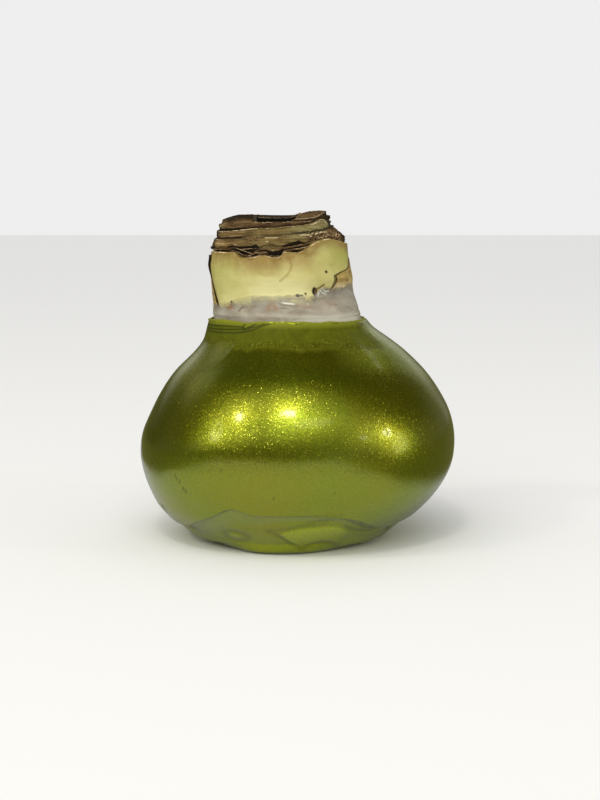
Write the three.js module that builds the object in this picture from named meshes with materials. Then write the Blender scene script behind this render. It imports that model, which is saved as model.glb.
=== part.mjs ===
// Amaryllis bulb dipped in wax, its neck cut off above the wax, standing on a flat wax foot.
// Millimetres, +Z up. The origin is on the surface it stands on, under the middle of its outline.
// A bearing is an angle round +Z in degrees: 0 is the right side (+X), 90 the back, 270 the front.
import * as THREE from 'three';

// Driving dimensions.
const GAP = 0.3;              // clearance between pieces that touch
const WAX = 1.8;              // wall of the wax coat
const WAX_RIM = 0.75;         // wall of the wax coat at its rim
const FOOT_FLOOR = 3.0;       // wax under the bulb
const RIM_HEIGHT = 68.5;      // rim of the wax coat
const BAND = 0.6;             // wall of the pale wax band
const BAND_FOOT = 65.4;       // where the pale band starts, under the rim of the coat
const SCALE_BACK = 0.7;       // thickness of the old scale at the back
const PAPERY = 0.6;           // thickness of a papery scale
const POCKET_FLOOR = 78;      // where the separate neck scales stand in the bulb
const POCKET_STEP = 86.5;     // height of the walls' middle ring, under every cut edge
const FACE_SMOOTH = 0.15;     // rounds the change from a scale's thin side to its thick face
const CREASE_DEPTH = 0.8;     // step in the wax over the foot
const SLOT = { x: -6.2, halfX: 6.0, halfY: 1.1, floor: 95 };

const ROUND = 56;             // points round a piece

// Outlines: [height, centre x, half-width, half-depth as a share of the half-width].
const COAT_OUTLINE = [
  [1, -2.6, 30.0, 0.94], [3, -2.7, 32.6, 0.94], [7, -2.4, 37.6, 0.945], [11, -1.9, 41.8, 0.95],
  [15, -1.2, 44.6, 0.955], [19, -0.7, 46.7, 0.96], [23, -0.35, 48.1, 0.96],
  [27, -0.1, 48.8, 0.96], [33, 0.3, 48.5, 0.96], [39.5, 0.9, 46.4, 0.96],
  [46, 0.9, 43.0, 0.96], [52, 0.9, 38.7, 0.955], [58, 0.9, 32.7, 0.94], [61.5, 0, 29.2, 0.92],
  [65.5, -2.2, 25.8, 0.89], [RIM_HEIGHT, -3.2, 24.1, 0.87],
];
const NECK_OUTLINE = [
  [58.5, 0.5, 29.2, 0.94], [61, -0.3, 26.9, 0.92], [65, -2.1, 23.4, 0.885],
  [68.5, -3.1, 22.0, 0.865], [73, -3.9, 22.0, 0.83], [77, -5.1, 21.3, 0.81],
  [81, -4.9, 21.8, 0.8], [84.5, -5.35, 21.6, 0.79], [88.5, -5.5, 21.1, 0.785],
  [91, -6.4, 21.8, 0.765], [93.5, -6.6, 22.0, 0.755], [95.5, -7.1, 21.5, 0.76],
  [97, -7.5, 21.4, 0.77], [99, -7.0, 21.5, 0.77], [103, -6.9, 21.2, 0.77],
];

// Neck scales from the outside in: how far a surface lies inside the neck's outline at the
// sides and at the front and back faces.
const POCKET = { side: 1.7, front: 2.0, back: 2.9 };
const LAYERS = {
  papery: { side: 2.0, face: 3.8 },
  fleshyOuter: { side: 2.9, face: 4.7 },
  fleshyInner: { side: 3.8, face: 7.1 },
  thinBrown: { side: 4.7, face: 9.6 },
  core: { side: 5.6, face: 10.5 },
};

// Cut edges: [bearing, height] pairs that a smooth closed curve runs through.
const NECK_CUT = [
  [0, 91.0], [40, 91.0], [90, 91.0], [140, 90.2], [192, 89.1], [228, 88.8], [240, 87.8],
  [250, 87.4], [263, 87.9], [272, 87.6], [278, 88.7], [299, 89.8], [308, 92.0], [322, 93.0],
  [345, 92.1],
];
const PAPERY_CUT = [
  [0, 94.6], [40, 93.4], [90, 92.8], [140, 91.8], [192, 90.6], [232, 90.7], [250, 90.9],
  [270, 91.6], [288, 92.3], [308, 92.9], [326, 94.6], [344, 96.6],
];
const FLESHY_OUTER_CUT = [
  [0, 95.6], [45, 95.4], [90, 95.2], [135, 94.2], [192, 92.8], [232, 92.7], [262, 93.5],
  [284, 94.4], [310, 95.3], [335, 95.9],
];
const FLESHY_INNER_CUT = [
  [10, 97.4], [45, 97.8], [90, 97.6], [135, 96.8], [165, 95.8], [188, 95.3], [215, 95.6],
  [245, 96.2], [268, 97.1], [290, 97.8], [315, 98.3], [345, 98.0],
];
const THIN_BROWN_CUT = [
  [10, 98.5], [45, 98.9], [90, 98.6], [135, 98.2], [165, 97.0], [188, 96.3], [215, 96.6],
  [245, 96.9], [268, 97.7], [290, 98.4], [315, 98.9], [345, 98.8],
];
const CORE_EDGE = [
  [0, 100.6], [25, 101.3], [50, 100.6], [90, 99.4], [135, 99.0], [180, 98.0], [225, 97.3],
  [270, 97.6], [315, 98.6], [340, 99.4],
];
const CORE_LIP = [[0, 99.7], [90, 99.7], [180, 99.6], [270, 98.0]];
const CORE_CROWN = [[0, 0.4], [40, 0.3], [90, 0.1], [180, 1.0], [270, 0.2]];
const BAND_EDGE = [
  [0, 77.4], [90, 75], [180, 71.4], [205, 72.5], [225, 74], [250, 74.8], [265, 74.1], [282, 74.7],
  [300, 75.6], [325, 77.2],
];
const CREASE = [
  [0, 9], [90, 10], [180, 9], [205, 7.6], [216, 8.4], [228, 12], [238, 14.4], [247, 14.2],
  [270, 13.5], [286, 13.9], [297, 13.5], [304, 11.6], [315, 8.8], [330, 8],
];
const FOOT_SHARE = [
  [0, 0.96], [45, 0.97], [90, 1], [135, 0.96], [180, 0.95], [203, 0.87], [220, 0.88], [235, 0.96],
  [249, 1.05], [265, 1.06], [280, 1.03], [293, 0.98], [312, 0.91], [338, 0.9],
];
const COAT_RIM = [[0, 0.1], [90, 0.4], [180, -0.3], [215, 0.2], [255, -0.3], [300, -0.2], [330, 0.3]];
const PAPERY_FRONT_CUT = [
  [0, 93], [90, 90], [180, 89.6], [220, 90.1], [236, 89.7], [250, 89.1], [266, 89.3], [282, 90.0],
  [298, 91.0], [318, 93.2],
];
const PAPERY_FRONT = { from: 219, to: 321, inset: { side: 2.0, face: 2.3 }, thick: 0.9 };

// The old scale at the back: bearings of its margins by height, and its top edge.
const MARGIN_RIGHT = [[66, -50], [77, -44], [79, -35], [82, -31], [83.4, -25], [85.5, -9], [90, -6]];
const MARGIN_LEFT = [[66, 204], [73, 201], [76, 193], [82, 187], [88, 184]];
const SCALE_BACK_TOP = [
  [0, 86.6], [45, 88.2], [90, 89.4], [135, 88.8], [180, 87.8], [205, 87.2], [320, 84], [352, 85.7],
];
const SCALE_BACK_FOOT = 68.9;
const SEAT_DEPTH = 1.1;       // how deep its seat in the neck is
const CURL = 0.9;             // how far its dry left corner stands out
const SEAT_BLEND = 10;        // bearing over which its seat in the neck fades out
const SEAT_CLEAR = 0.5;       // height above its top edge at which the seat starts to fade
const SEAT_FADE = 2.2;        // and at which it is gone

const radians = THREE.MathUtils.degToRad;
const lerp = THREE.MathUtils.lerp;
const smooth = THREE.MathUtils.smoothstep;

// Smooth curve through rows [position, value, ...], by column. A closed one repeats after 360.
function along(rows, position, column = 1, closed = false) {
  const row = (i) => {
    if (!closed) return rows[THREE.MathUtils.clamp(i, 0, rows.length - 1)];
    const turn = Math.floor(i / rows.length);
    const [at, value] = rows[i - turn * rows.length];
    return [at + 360 * turn, value];
  };
  let i = closed ? -1 : 0;
  while (i < rows.length - (closed ? 1 : 2) && row(i + 1)[0] <= position) i += 1;
  const [before, start, end, after] = [row(i - 1), row(i), row(i + 1), row(i + 2)];
  const span = end[0] - start[0];
  const u = THREE.MathUtils.clamp((position - start[0]) / span, 0, 1);
  const slopeStart = (end[column] - before[column]) / (end[0] - before[0]) * span;
  const slopeEnd = (after[column] - start[column]) / (after[0] - start[0]) * span;
  const rise = end[column] - start[column];
  return start[column] + u * (slopeStart
    + u * (3 * rise - 2 * slopeStart - slopeEnd + u * (slopeStart + slopeEnd - 2 * rise)));
}

const wrap = (bearing) => THREE.MathUtils.euclideanModulo(bearing, 360);
const edge = (rows, bearing) => along(rows, wrap(bearing), 1, true);

// Small unevenness of a torn or cut edge, the same on every run.
function ragged(bearing, phase, height) {
  const t = radians(bearing);
  return height * (0.5 * Math.sin(5 * t + phase) + 0.3 * Math.sin(9 * t + 2.1 * phase)
    + 0.2 * Math.sin(14 * t + 3.7 * phase));
}

// Size of an outline at a height, with its slope, as { cx, a, share, slope }.
function section(outline, z) {
  const step = 0.2;
  const [cx, a, share] = [1, 2, 3].map((column) => along(outline, z, column));
  const slope = (along(outline, z + step, 2) - along(outline, z - step, 2)) / (2 * step);
  return { cx, a, share, slope };
}

// A point on an outline moved inwards, level, by inset.
function onOutline(outline, bearing, z, inset) {
  const { cx, a, share } = section(outline, z);
  const t = radians(bearing);
  return new THREE.Vector3(
    cx + (a - inset) * Math.cos(t), (a * share - inset) * Math.sin(t), z);
}

// A point of the wax coat's outline at height z, moved in square to its surface by inset.
function insideCoat(bearing, z, inset) {
  const { slope } = section(COAT_OUTLINE, z);
  const length = Math.hypot(1, slope);
  const point = onOutline(COAT_OUTLINE, bearing, z, inset / length);
  point.z += inset * slope / length;
  return point;
}

// How far a neck scale's surface lies in: thin at the sides, thick at the faces.
function inset(side, face, bearing) {
  const swell = Math.hypot(Math.sin(radians(bearing)), FACE_SMOOTH) - FACE_SMOOTH;
  return side + (face - side) * swell / (Math.hypot(1, FACE_SMOOTH) - FACE_SMOOTH);
}

const pocketInset = (bearing) =>
  inset(POCKET.side, Math.sin(radians(bearing)) < 0 ? POCKET.front : POCKET.back, bearing);

// Share, 0 to 1, of the old back scale's cover at a point of the neck. It fades out beside
// the scale's margins and above its top edge.
function cover(bearing, z) {
  const b = bearing > 270 ? bearing - 360 : bearing;
  const right = b - (along(MARGIN_RIGHT, z) - SEAT_BLEND);
  const left = along(MARGIN_LEFT, z) + SEAT_BLEND - b;
  const above = z - edge(SCALE_BACK_TOP, b);
  return smooth(Math.min(right, left), 0, SEAT_BLEND * 0.6) * (1 - smooth(above, SEAT_CLEAR, SEAT_FADE));
}

// Triangles between rows of points. Rows that close on themselves make a tube; poles end it.
function skin(rows, { startPole, endPole, loop = false } = {}) {
  const around = rows[0].length;
  const points = rows.flat();
  const index = [];
  const at = (i, j) => (i % rows.length) * around + (j % around);
  const last = loop ? rows.length : rows.length - 1;
  for (let i = 0; i < last; i += 1) {
    for (let j = 0; j < around; j += 1) {
      index.push(at(i, j), at(i, j + 1), at(i + 1, j + 1), at(i, j), at(i + 1, j + 1), at(i + 1, j));
    }
  }
  if (startPole) {
    points.push(startPole);
    for (let j = 0; j < around; j += 1) index.push(points.length - 1, at(0, j + 1), at(0, j));
  }
  if (endPole) {
    points.push(endPole);
    const top = rows.length - 1;
    for (let j = 0; j < around; j += 1) index.push(points.length - 1, at(top, j), at(top, j + 1));
  }
  const geometry = new THREE.BufferGeometry().setFromPoints(points);
  geometry.setIndex(index);
  geometry.computeVertexNormals();
  return geometry;
}

// One row of points at every bearing.
function ring(count, place) {
  return Array.from({ length: count }, (_, j) => place(360 * j / count));
}

// A thick sheet: rows run from its foot to its top, once over the outside and back inside,
// and at each end of a row the two faces meet.
function sheet(across, heights, place) {
  const rows = [];
  for (let j = 0; j <= across; j += 1) {
    const u = j / across;
    const outer = heights.map((v) => place(u, v, 0));
    const inner = heights.map((v) => place(u, v, 1)).reverse();
    rows.push([...outer, ...inner]);
  }
  return capped(rows);
}

// Closes a run of like sections with a flat strip of triangles over each end section.
function capped(rows) {
  const around = rows[0].length;
  const half = around / 2;
  const index = [];
  const at = (i, j) => i * around + (j % around);
  for (let i = 0; i + 1 < rows.length; i += 1) {
    for (let j = 0; j < around; j += 1) {
      index.push(at(i, j), at(i + 1, j), at(i + 1, j + 1), at(i, j), at(i + 1, j + 1), at(i, j + 1));
    }
  }
  const end = rows.length - 1;
  for (let j = 0; j + 1 < half; j += 1) {
    const [near, far] = [around - 1 - j, around - 2 - j];
    index.push(at(0, j), at(0, j + 1), at(0, far), at(0, j), at(0, far), at(0, near));
    index.push(at(end, j), at(end, far), at(end, j + 1), at(end, j), at(end, near), at(end, far));
  }
  const geometry = new THREE.BufferGeometry().setFromPoints(rows.flat());
  geometry.setIndex(index);
  geometry.computeVertexNormals();
  return geometry;
}

// The wax was soft when it was set down: from the crease down it lies in by up to this much.
const creaseDepth = (bearing) => CREASE_DEPTH * smooth(-Math.sin(radians(bearing)), -0.3, 0.4);

function waxCoat() {
  const footX = COAT_OUTLINE[0][1];
  const flat = (bearing, z, radius) =>
    onOutline(COAT_OUTLINE, bearing, 1, COAT_OUTLINE[0][2] - radius * edge(FOOT_SHARE, bearing)).setZ(z);
  const pressed = (bearing, share, depth) =>
    insideCoat(bearing, share * edge(CREASE, bearing), depth * creaseDepth(bearing));
  const outerHeights = [18.5, 22.5, 27, 31.5, 36.5, 42, 47.5, 52.5, 56.5, 60, 64];
  const innerHeights = [64, 59, 53, 46, 37, 28, 20, 13, 7.5];
  const rim = (bearing, depth) =>
    onOutline(COAT_OUTLINE, bearing, RIM_HEIGHT, depth).setZ(RIM_HEIGHT + edge(COAT_RIM, bearing));
  const wall = (z) => lerp(WAX, WAX_RIM + 0.2, smooth(z, 55, 66));
  const rows = [
    ring(ROUND, (b) => flat(b, 0, 27.8)),
    ring(ROUND, (b) => flat(b, 0.5, 29.8)),
    ring(ROUND, (b) => pressed(b, 0.22, 0.2)),
    ring(ROUND, (b) => pressed(b, 0.55, 0.5)),
    ring(ROUND, (b) => pressed(b, 0.93, 1)),
    ring(ROUND, (b) => pressed(b, 1.05, 0)),
    ring(ROUND, (b) => insideCoat(b, lerp(edge(CREASE, b), 18.5, 0.5), 0)),
    ...outerHeights.map((z) => ring(ROUND, (b) => insideCoat(b, z, 0))),
    ring(ROUND, (b) => rim(b, 0)),
    ring(ROUND, (b) => rim(b, WAX_RIM)),
    ...innerHeights.map((z) => ring(ROUND, (b) => insideCoat(b, z, wall(z)))),
    ring(ROUND, (b) => onOutline(COAT_OUTLINE, b, 1, 2).setZ(FOOT_FLOOR)),
  ];
  return skin(rows, {
    startPole: new THREE.Vector3(footX, 0, 0),
    endPole: new THREE.Vector3(footX, 0, FOOT_FLOOR),
  });
}

// Outer face of the bulb's neck: the outline, let in where the old back scale lies on it.
function neckFace(bearing, z) {
  return onOutline(NECK_OUTLINE, bearing, z, SEAT_DEPTH * cover(bearing, z));
}

function bulb() {
  const inWax = [7.5, 13, 20, 28, 37, 46, 53];
  const neck = [59.5, 62.5, 66, 69.5, 72.5, 75, 78, 81, 83, 84.3];
  const cut = (b) => edge(NECK_CUT, b) + ragged(b, 2.2, 0.25);
  const seatEnd = (b, above, below) => Math.min(edge(SCALE_BACK_TOP, b) + above, cut(b) - below);
  const rows = [
    ring(ROUND, (b) => onOutline(COAT_OUTLINE, b, 1, 2.5).setZ(FOOT_FLOOR + GAP)),
    ...inWax.map((z) => ring(ROUND, (b) => insideCoat(b, z, WAX + GAP))),
    ...neck.map((z) => ring(ROUND, (b) => neckFace(b, z))),
    ring(ROUND, (b) => neckFace(b, seatEnd(b, SEAT_CLEAR, 2))),
    ring(ROUND, (b) => neckFace(b, seatEnd(b, SEAT_FADE, 0.5))),
    ring(ROUND, (b) => neckFace(b, cut(b))),
    ring(ROUND, (b) => onOutline(NECK_OUTLINE, b, cut(b) + 0.2, pocketInset(b))),
    ring(ROUND, (b) => onOutline(NECK_OUTLINE, b, POCKET_STEP - 3, pocketInset(b))),
    ring(ROUND, (b) => onOutline(NECK_OUTLINE, b, POCKET_FLOOR, pocketInset(b))),
  ];
  return skin(rows, {
    startPole: new THREE.Vector3(COAT_OUTLINE[0][1], 0, FOOT_FLOOR + GAP),
    endPole: new THREE.Vector3(-4.6, 0, POCKET_FLOOR),
  });
}

function waxBand() {
  const top = (b) => edge(BAND_EDGE, b) + ragged(b, 0.9, 0.35);
  const level = (b, share) => lerp(BAND_FOOT, top(b), share);
  const face = (b, share, out) => onOutline(NECK_OUTLINE, b, level(b, share), -out);
  const shares = [0, 0.25, 0.5, 0.75, 1];
  return skin([
    ...shares.map((s) => ring(ROUND, (b) => face(b, s, GAP + BAND))),
    ...shares.map((s) => ring(ROUND, (b) => face(b, 1 - s, GAP))),
  ], { loop: true });
}

// A scale that runs round the neck inside the pocket, between its own face and the next one.
// Where it stands clear of the scale around it, its dry edge spreads outwards by flare.
function neckScale({ own, next, rows, phase, flare = 0, around = rows }) {
  const foot = POCKET_FLOOR + GAP;
  const cut = (b) => edge(rows, b) + ragged(b, phase, 0.25);
  const spread = (b) => flare * smooth(cut(b) - edge(around, b), 1.9, 2.7);
  const outside = (b, z, out) => onOutline(NECK_OUTLINE, b, z, inset(own.side, own.face, b) - out);
  const inside = (b, z, out) =>
    onOutline(NECK_OUTLINE, b, z, inset(next.side, next.face, b) - GAP - out);
  return skin([
    ring(ROUND, (b) => outside(b, foot, 0)),
    ring(ROUND, (b) => outside(b, POCKET_STEP, 0)),
    ring(ROUND, (b) => outside(b, cut(b) - 1.4, 0)),
    ring(ROUND, (b) => outside(b, cut(b), spread(b))),
    ring(ROUND, (b) => inside(b, cut(b) + 0.4, spread(b) * 0.5)),
    ring(ROUND, (b) => inside(b, POCKET_STEP, 0)),
    ring(ROUND, (b) => inside(b, foot, 0)),
  ], { loop: true });
}

function coreScales() {
  const { side, face } = LAYERS.core;
  const foot = POCKET_FLOOR + GAP;
  const outside = (b, z) => onOutline(NECK_OUTLINE, b, z, inset(side, face, b));
  const slot = (b, z, share) => new THREE.Vector3(
    SLOT.x + share * SLOT.halfX * Math.cos(radians(b)), share * SLOT.halfY * Math.sin(radians(b)), z);
  const top = (b, s) => {
    const z = lerp(edge(CORE_EDGE, b), edge(CORE_LIP, b), s) + edge(CORE_CROWN, b) * Math.sin(Math.PI * s);
    const rough = 0.35 * smooth(Math.cos(radians(b - 25)), 0, 0.8) * Math.sin(Math.PI * s);
    return outside(b, z).lerp(slot(b, z, 1), s).setZ(z + rough * Math.sin(b * 0.31 + 7 * s));
  };
  return skin([
    ring(ROUND, (b) => outside(b, foot)),
    ring(ROUND, (b) => outside(b, POCKET_STEP)),
    ...[0, 0.22, 0.45, 0.7, 1].map((s) => ring(ROUND, (b) => top(b, s))),
    ring(ROUND, (b) => slot(b, SLOT.floor, 0.8)),
  ], {
    startPole: new THREE.Vector3(-4.6, 0, foot),
    endPole: new THREE.Vector3(SLOT.x, 0, SLOT.floor),
  });
}

// The old scale lies in its seat round the back; its left corner has dried and stands out.
function outerScaleBack() {
  const heights = [0, 0.2, 0.36, 0.46, 0.56, 0.75, 0.88, 1];
  const margin = (u, z) => lerp(along(MARGIN_RIGHT, z), along(MARGIN_LEFT, z), u);
  const place = (u, v, side) => {
    const guess = margin(u, lerp(SCALE_BACK_FOOT, 87, v));
    const z = lerp(SCALE_BACK_FOOT, edge(SCALE_BACK_TOP, guess) + ragged(guess, 1.7, 0.2), v);
    const b = margin(u, z);
    const lift = CURL * smooth(b, 160, 188) * smooth(z, 81, 87);
    const out = lift + (side === 0 ? 0 : -SCALE_BACK);
    return onOutline(NECK_OUTLINE, b, z, -out);
  };
  return sheet(38, heights, place);
}

function paperyScaleFront() {
  const { from, to, inset: at, thick } = PAPERY_FRONT;
  const heights = [0, 0.4, 0.75, 1];
  const place = (u, v, side) => {
    const b = lerp(from, to, u);
    const z = lerp(POCKET_FLOOR + GAP, edge(PAPERY_FRONT_CUT, b), v);
    const taper = Math.min(thick, PAPERY + 0.02 * Math.min(b - from, to - b));
    return onOutline(NECK_OUTLINE, b, z, inset(at.side, at.face, b) + side * taper);
  };
  return sheet(16, heights, place);
}

function finish(color, roughness) {
  return new THREE.MeshStandardMaterial({ color, roughness, metalness: 0 });
}

function piece(name, geometry, material) {
  const mesh = new THREE.Mesh(geometry, material);
  mesh.name = name;
  return mesh;
}

const { papery, fleshyOuter, fleshyInner, thinBrown, core } = LAYERS;
const greenWax = new THREE.MeshStandardMaterial({ color: 0x83861a, roughness: 0.32, metalness: 0.7 });

const waxedBulb = new THREE.Group();
waxedBulb.add(
  piece('wax_coat', waxCoat(), greenWax),
  piece('wax_undercoat_band', waxBand(), finish(0x9d9684, 0.45)),
  piece('bulb', bulb(), finish(0xd0c58a, 0.5)),
  piece('outer_scale_back', outerScaleBack(), finish(0xb29a5c, 0.6)),
  piece('papery_scale_front', paperyScaleFront(), finish(0x503d22, 0.85)),
  piece('papery_scale_inner',
    neckScale({ own: papery, next: fleshyOuter, rows: PAPERY_CUT, phase: 0.3,
      flare: 0.7, around: NECK_CUT }),
    finish(0x5c4426, 0.85)),
  piece('fleshy_scale_outer',
    neckScale({ own: fleshyOuter, next: fleshyInner, rows: FLESHY_OUTER_CUT, phase: 1.1,
      flare: 1.0, around: PAPERY_CUT }),
    finish(0x6b5a33, 0.7)),
  piece('fleshy_scale_inner',
    neckScale({ own: fleshyInner, next: thinBrown, rows: FLESHY_INNER_CUT, phase: 2.6,
      flare: 0.8, around: FLESHY_OUTER_CUT }),
    finish(0x8b8257, 0.7)),
  piece('thin_brown_scale',
    neckScale({ own: thinBrown, next: core, rows: THIN_BROWN_CUT, phase: 4.0 }),
    finish(0x4c3a22, 0.85)),
  piece('core_scales', coreScales(), finish(0x5a4628, 0.85)),
);

export default waxedBulb;
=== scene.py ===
"""Dressed model of a waxed amaryllis bulb with a cut neck, standing on its wax foot.

Shapes are worked out in millimetres and turned into metres when a mesh is made. A bearing is an
angle round +Z in degrees: 0 is the right side (+X), 90 the back, 270 the front.
"""

import bpy
import numpy as np
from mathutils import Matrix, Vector


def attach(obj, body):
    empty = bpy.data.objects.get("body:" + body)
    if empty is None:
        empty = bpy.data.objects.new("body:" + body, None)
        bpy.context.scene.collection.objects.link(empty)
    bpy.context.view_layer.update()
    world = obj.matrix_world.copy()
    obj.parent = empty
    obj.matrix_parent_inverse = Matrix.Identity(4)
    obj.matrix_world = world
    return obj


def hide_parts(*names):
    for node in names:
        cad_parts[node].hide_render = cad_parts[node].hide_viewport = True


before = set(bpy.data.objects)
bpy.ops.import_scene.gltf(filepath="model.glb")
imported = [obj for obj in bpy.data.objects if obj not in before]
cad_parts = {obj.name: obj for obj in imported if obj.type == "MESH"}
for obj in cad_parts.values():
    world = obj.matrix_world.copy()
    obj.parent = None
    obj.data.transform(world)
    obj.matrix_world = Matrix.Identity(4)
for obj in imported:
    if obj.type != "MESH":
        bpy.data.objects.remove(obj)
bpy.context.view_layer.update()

MM = 0.001
TURN, HALF_TURN = 6.283, 3.1416    # in radians

# ---------------------------------------------------------------- sizes shared with the solids
GAP = 0.3                # clearance between pieces that touch
WAX = 1.8                # wall of the wax coat
WAX_RIM = 0.75           # wall of the wax coat at its rim
FOOT_FLOOR = 3.0         # wax under the bulb
RIM_HEIGHT = 68.5        # rim of the wax coat
BAND_FOOT = 65.4         # where the pale band starts, under the rim of the coat
SCALE_BACK = 0.7         # thickness of the old scale at the back
SCALE_BACK_FOOT = 68.9   # where that scale starts, under the pale band
POCKET_FLOOR = 78.0      # where the separate neck scales stand in the bulb
OUTSIDE_STEP = 86.0      # heights on the neck scales' faces, under every cut edge
INSIDE_STEP = 86.5
FACE_SMOOTH = 0.15       # rounds the change from a scale's thin side to its thick face
CREASE_DEPTH = 0.8       # step in the wax over the foot
SEAT_DEPTH = 1.1         # how deep the old scale's seat in the neck is
SEAT_CLEAR = 0.3         # height above the old scale's top edge at which its seat starts to fade
SEAT_FADE = 1.0          # and at which it is gone
CURL = 0.9               # how far the old scale's dry left corner stands out
# The slot in the heart of the neck.
SLOT_X, SLOT_HALF_X, SLOT_HALF_Y, SLOT_FLOOR = -6.2, 6.0, 1.1, 95.0

# Outlines: [height, centre x, half-width, half-depth as a share of the half-width].
COAT_OUTLINE = [
    [1, -2.6, 30.0, 0.94], [3, -2.7, 32.6, 0.94], [7, -2.4, 37.6, 0.945], [11, -1.9, 41.8, 0.95],
    [15, -1.2, 44.6, 0.955], [19, -0.7, 46.7, 0.96], [23, -0.35, 48.1, 0.96],
    [27, -0.1, 48.8, 0.96], [33, 0.3, 48.5, 0.96], [39.5, 0.9, 46.4, 0.96],
    [46, 0.9, 43.0, 0.96], [52, 0.9, 38.7, 0.955], [58, 0.9, 32.7, 0.94], [61.5, 0, 29.2, 0.92],
    [65.5, -2.2, 25.8, 0.89], [RIM_HEIGHT, -3.2, 24.1, 0.87],
]
NECK_OUTLINE = [
    [58.5, 0.5, 29.2, 0.94], [61, -0.3, 26.9, 0.92], [65, -2.1, 23.4, 0.885],
    [68.5, -3.1, 22.0, 0.865], [73, -3.9, 22.0, 0.83], [77, -5.1, 21.3, 0.81],
    [81, -4.9, 21.8, 0.8], [84.5, -5.35, 21.6, 0.79], [88.5, -5.5, 21.1, 0.785],
    [91, -6.4, 21.8, 0.765], [93.5, -6.6, 22.0, 0.755], [95.5, -7.1, 21.5, 0.76],
    [97, -7.5, 21.4, 0.77], [99, -7.0, 21.5, 0.77], [103, -6.9, 21.2, 0.77],
]

# How far each neck scale's surface lies inside the neck's outline: at the sides, at the faces.
POCKET = (1.7, 2.0, 2.9)
PAPERY, FLESHY_OUTER, FLESHY_INNER = (2.0, 3.8), (2.9, 4.7), (3.8, 7.1)
THIN_BROWN, CORE = (4.7, 9.6), (5.6, 10.5)

# Edges: [bearing, height] pairs that a smooth closed curve runs through.
NECK_CUT = [
    [0, 91.2], [40, 91.2], [90, 91.0], [140, 90.0], [183, 88.5], [198, 88.85], [216, 88.8],
    [226.5, 88.85], [229.4, 88.7], [231.3, 88.1], [236, 87.45], [243.8, 87.35], [248.3, 87.45],
    [252.7, 87.9], [257.7, 87.95], [261, 87.75], [263, 87.5], [267.4, 87.4], [270, 87.65],
    [271.8, 88.0], [274, 89.0], [278, 89.1], [285, 88.85], [289.6, 89.2], [295.4, 90.0],
    [300.6, 91.15], [303.6, 91.8], [309.2, 92.45], [315.7, 92.85], [325.8, 92.6], [340, 91.75],
]
# How pale the cut edge of the bulb's wall is at a bearing, 0 to 1.
LIP_PALE = [
    [0, 0.1], [180, 0.2], [198, 0.8], [215, 0.9], [226, 0.6], [230, 0.3], [234, 0.0], [244, 0.05],
    [247, 0.9], [252.7, 0.8], [256, 0.5], [259.5, 0.9], [271, 1.0], [273, 0.5], [276, 0.9],
    [281, 0.2], [285, 0.5], [290, 0.4], [296, 0.2], [301, 0.8], [305, 0.6], [309, 0.4],
    [313, 0.9], [318, 0.4], [322, 0.0], [345, 0.0],
]
PAPERY_CUT = [
    [0, 93.8], [40, 93.2], [90, 92.6], [140, 91.6], [182, 89.9], [203, 89.6], [220, 89.7],
    [231, 89.8], [249, 90.1], [262, 90.4], [276, 90.5], [289, 90.8], [296, 91.2], [302, 91.7],
    [308, 92.7], [322, 93.6], [340, 93.9],
]
FLESHY_OUTER_CUT = [
    [0, 95.2], [45, 95.2], [90, 95.0], [135, 94.0], [180, 92.6], [193, 92.5], [228, 92.75],
    [238, 93.2], [246, 93.5], [262, 93.4], [271, 93.5], [280, 93.8], [290, 94.05], [302, 94.2],
    [317, 94.6], [334, 95.1], [347, 95.4],
]
FLESHY_INNER_CUT = [
    [10, 98.0], [45, 97.9], [90, 97.6], [135, 96.8], [165, 95.6], [189, 95.0], [210, 95.1],
    [228, 95.5], [242, 95.85], [252, 96.0], [262, 96.0], [273, 96.15], [285, 96.4], [298, 96.6],
    [310, 96.8], [318, 97.05], [324, 97.45], [329, 98.0], [334, 98.6], [340, 98.5], [350, 98.2],
]
THIN_BROWN_CUT = [
    [10, 99.6], [45, 99.2], [90, 98.6], [135, 98.2], [165, 97.5], [184, 97.1], [193, 97.5],
    [203, 98.3], [220, 98.8], [236, 98.8], [241, 98.2], [245, 97.8], [273, 97.85], [294, 97.9],
    [310, 98.0], [323, 98.15], [333, 98.5], [341, 99.15], [350, 99.8],
]
CORE_EDGE = [
    [0, 101.1], [20, 101.2], [32, 100.9], [45, 100.3], [60, 99.85], [90, 99.8], [115, 99.9],
    [135, 99.9], [158, 99.3], [180, 98.5], [200, 98.6], [222, 98.5], [236, 97.6], [248, 97.1],
    [280, 97.1], [293, 97.5], [303, 98.9], [310, 100.0], [322, 100.4], [335, 100.6], [348, 101.0],
]
CORE_LIP = [
    [0, 99.9], [30, 99.3], [60, 98.9], [90, 98.8], [120, 98.8], [150, 98.9], [176, 99.2],
    [190, 98.3], [205, 97.4], [270, 97.2], [325, 97.4], [340, 98.2], [350, 99.2],
]
CORE_CROWN = [
    [0, 0.2], [40, 0.2], [90, 0.0], [135, 0.5], [175, 1.0], [200, 0.6], [220, 0.1], [240, 0.0],
    [300, 0.0], [320, 0.2],
]
BAND_EDGE = [
    [0, 78.8], [35, 77.6], [90, 75.8], [150, 73.6], [180, 72.8], [204, 73.3], [217, 73.9],
    [226, 74.5], [235, 75.3], [245, 76.0], [255, 76.2], [265, 76.1], [278, 76.4], [286, 76.8],
    [291, 76.2], [296, 76.2], [302, 77.5], [307, 78.6], [316, 78.3], [326, 78.7], [337, 79.3],
]
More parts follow.
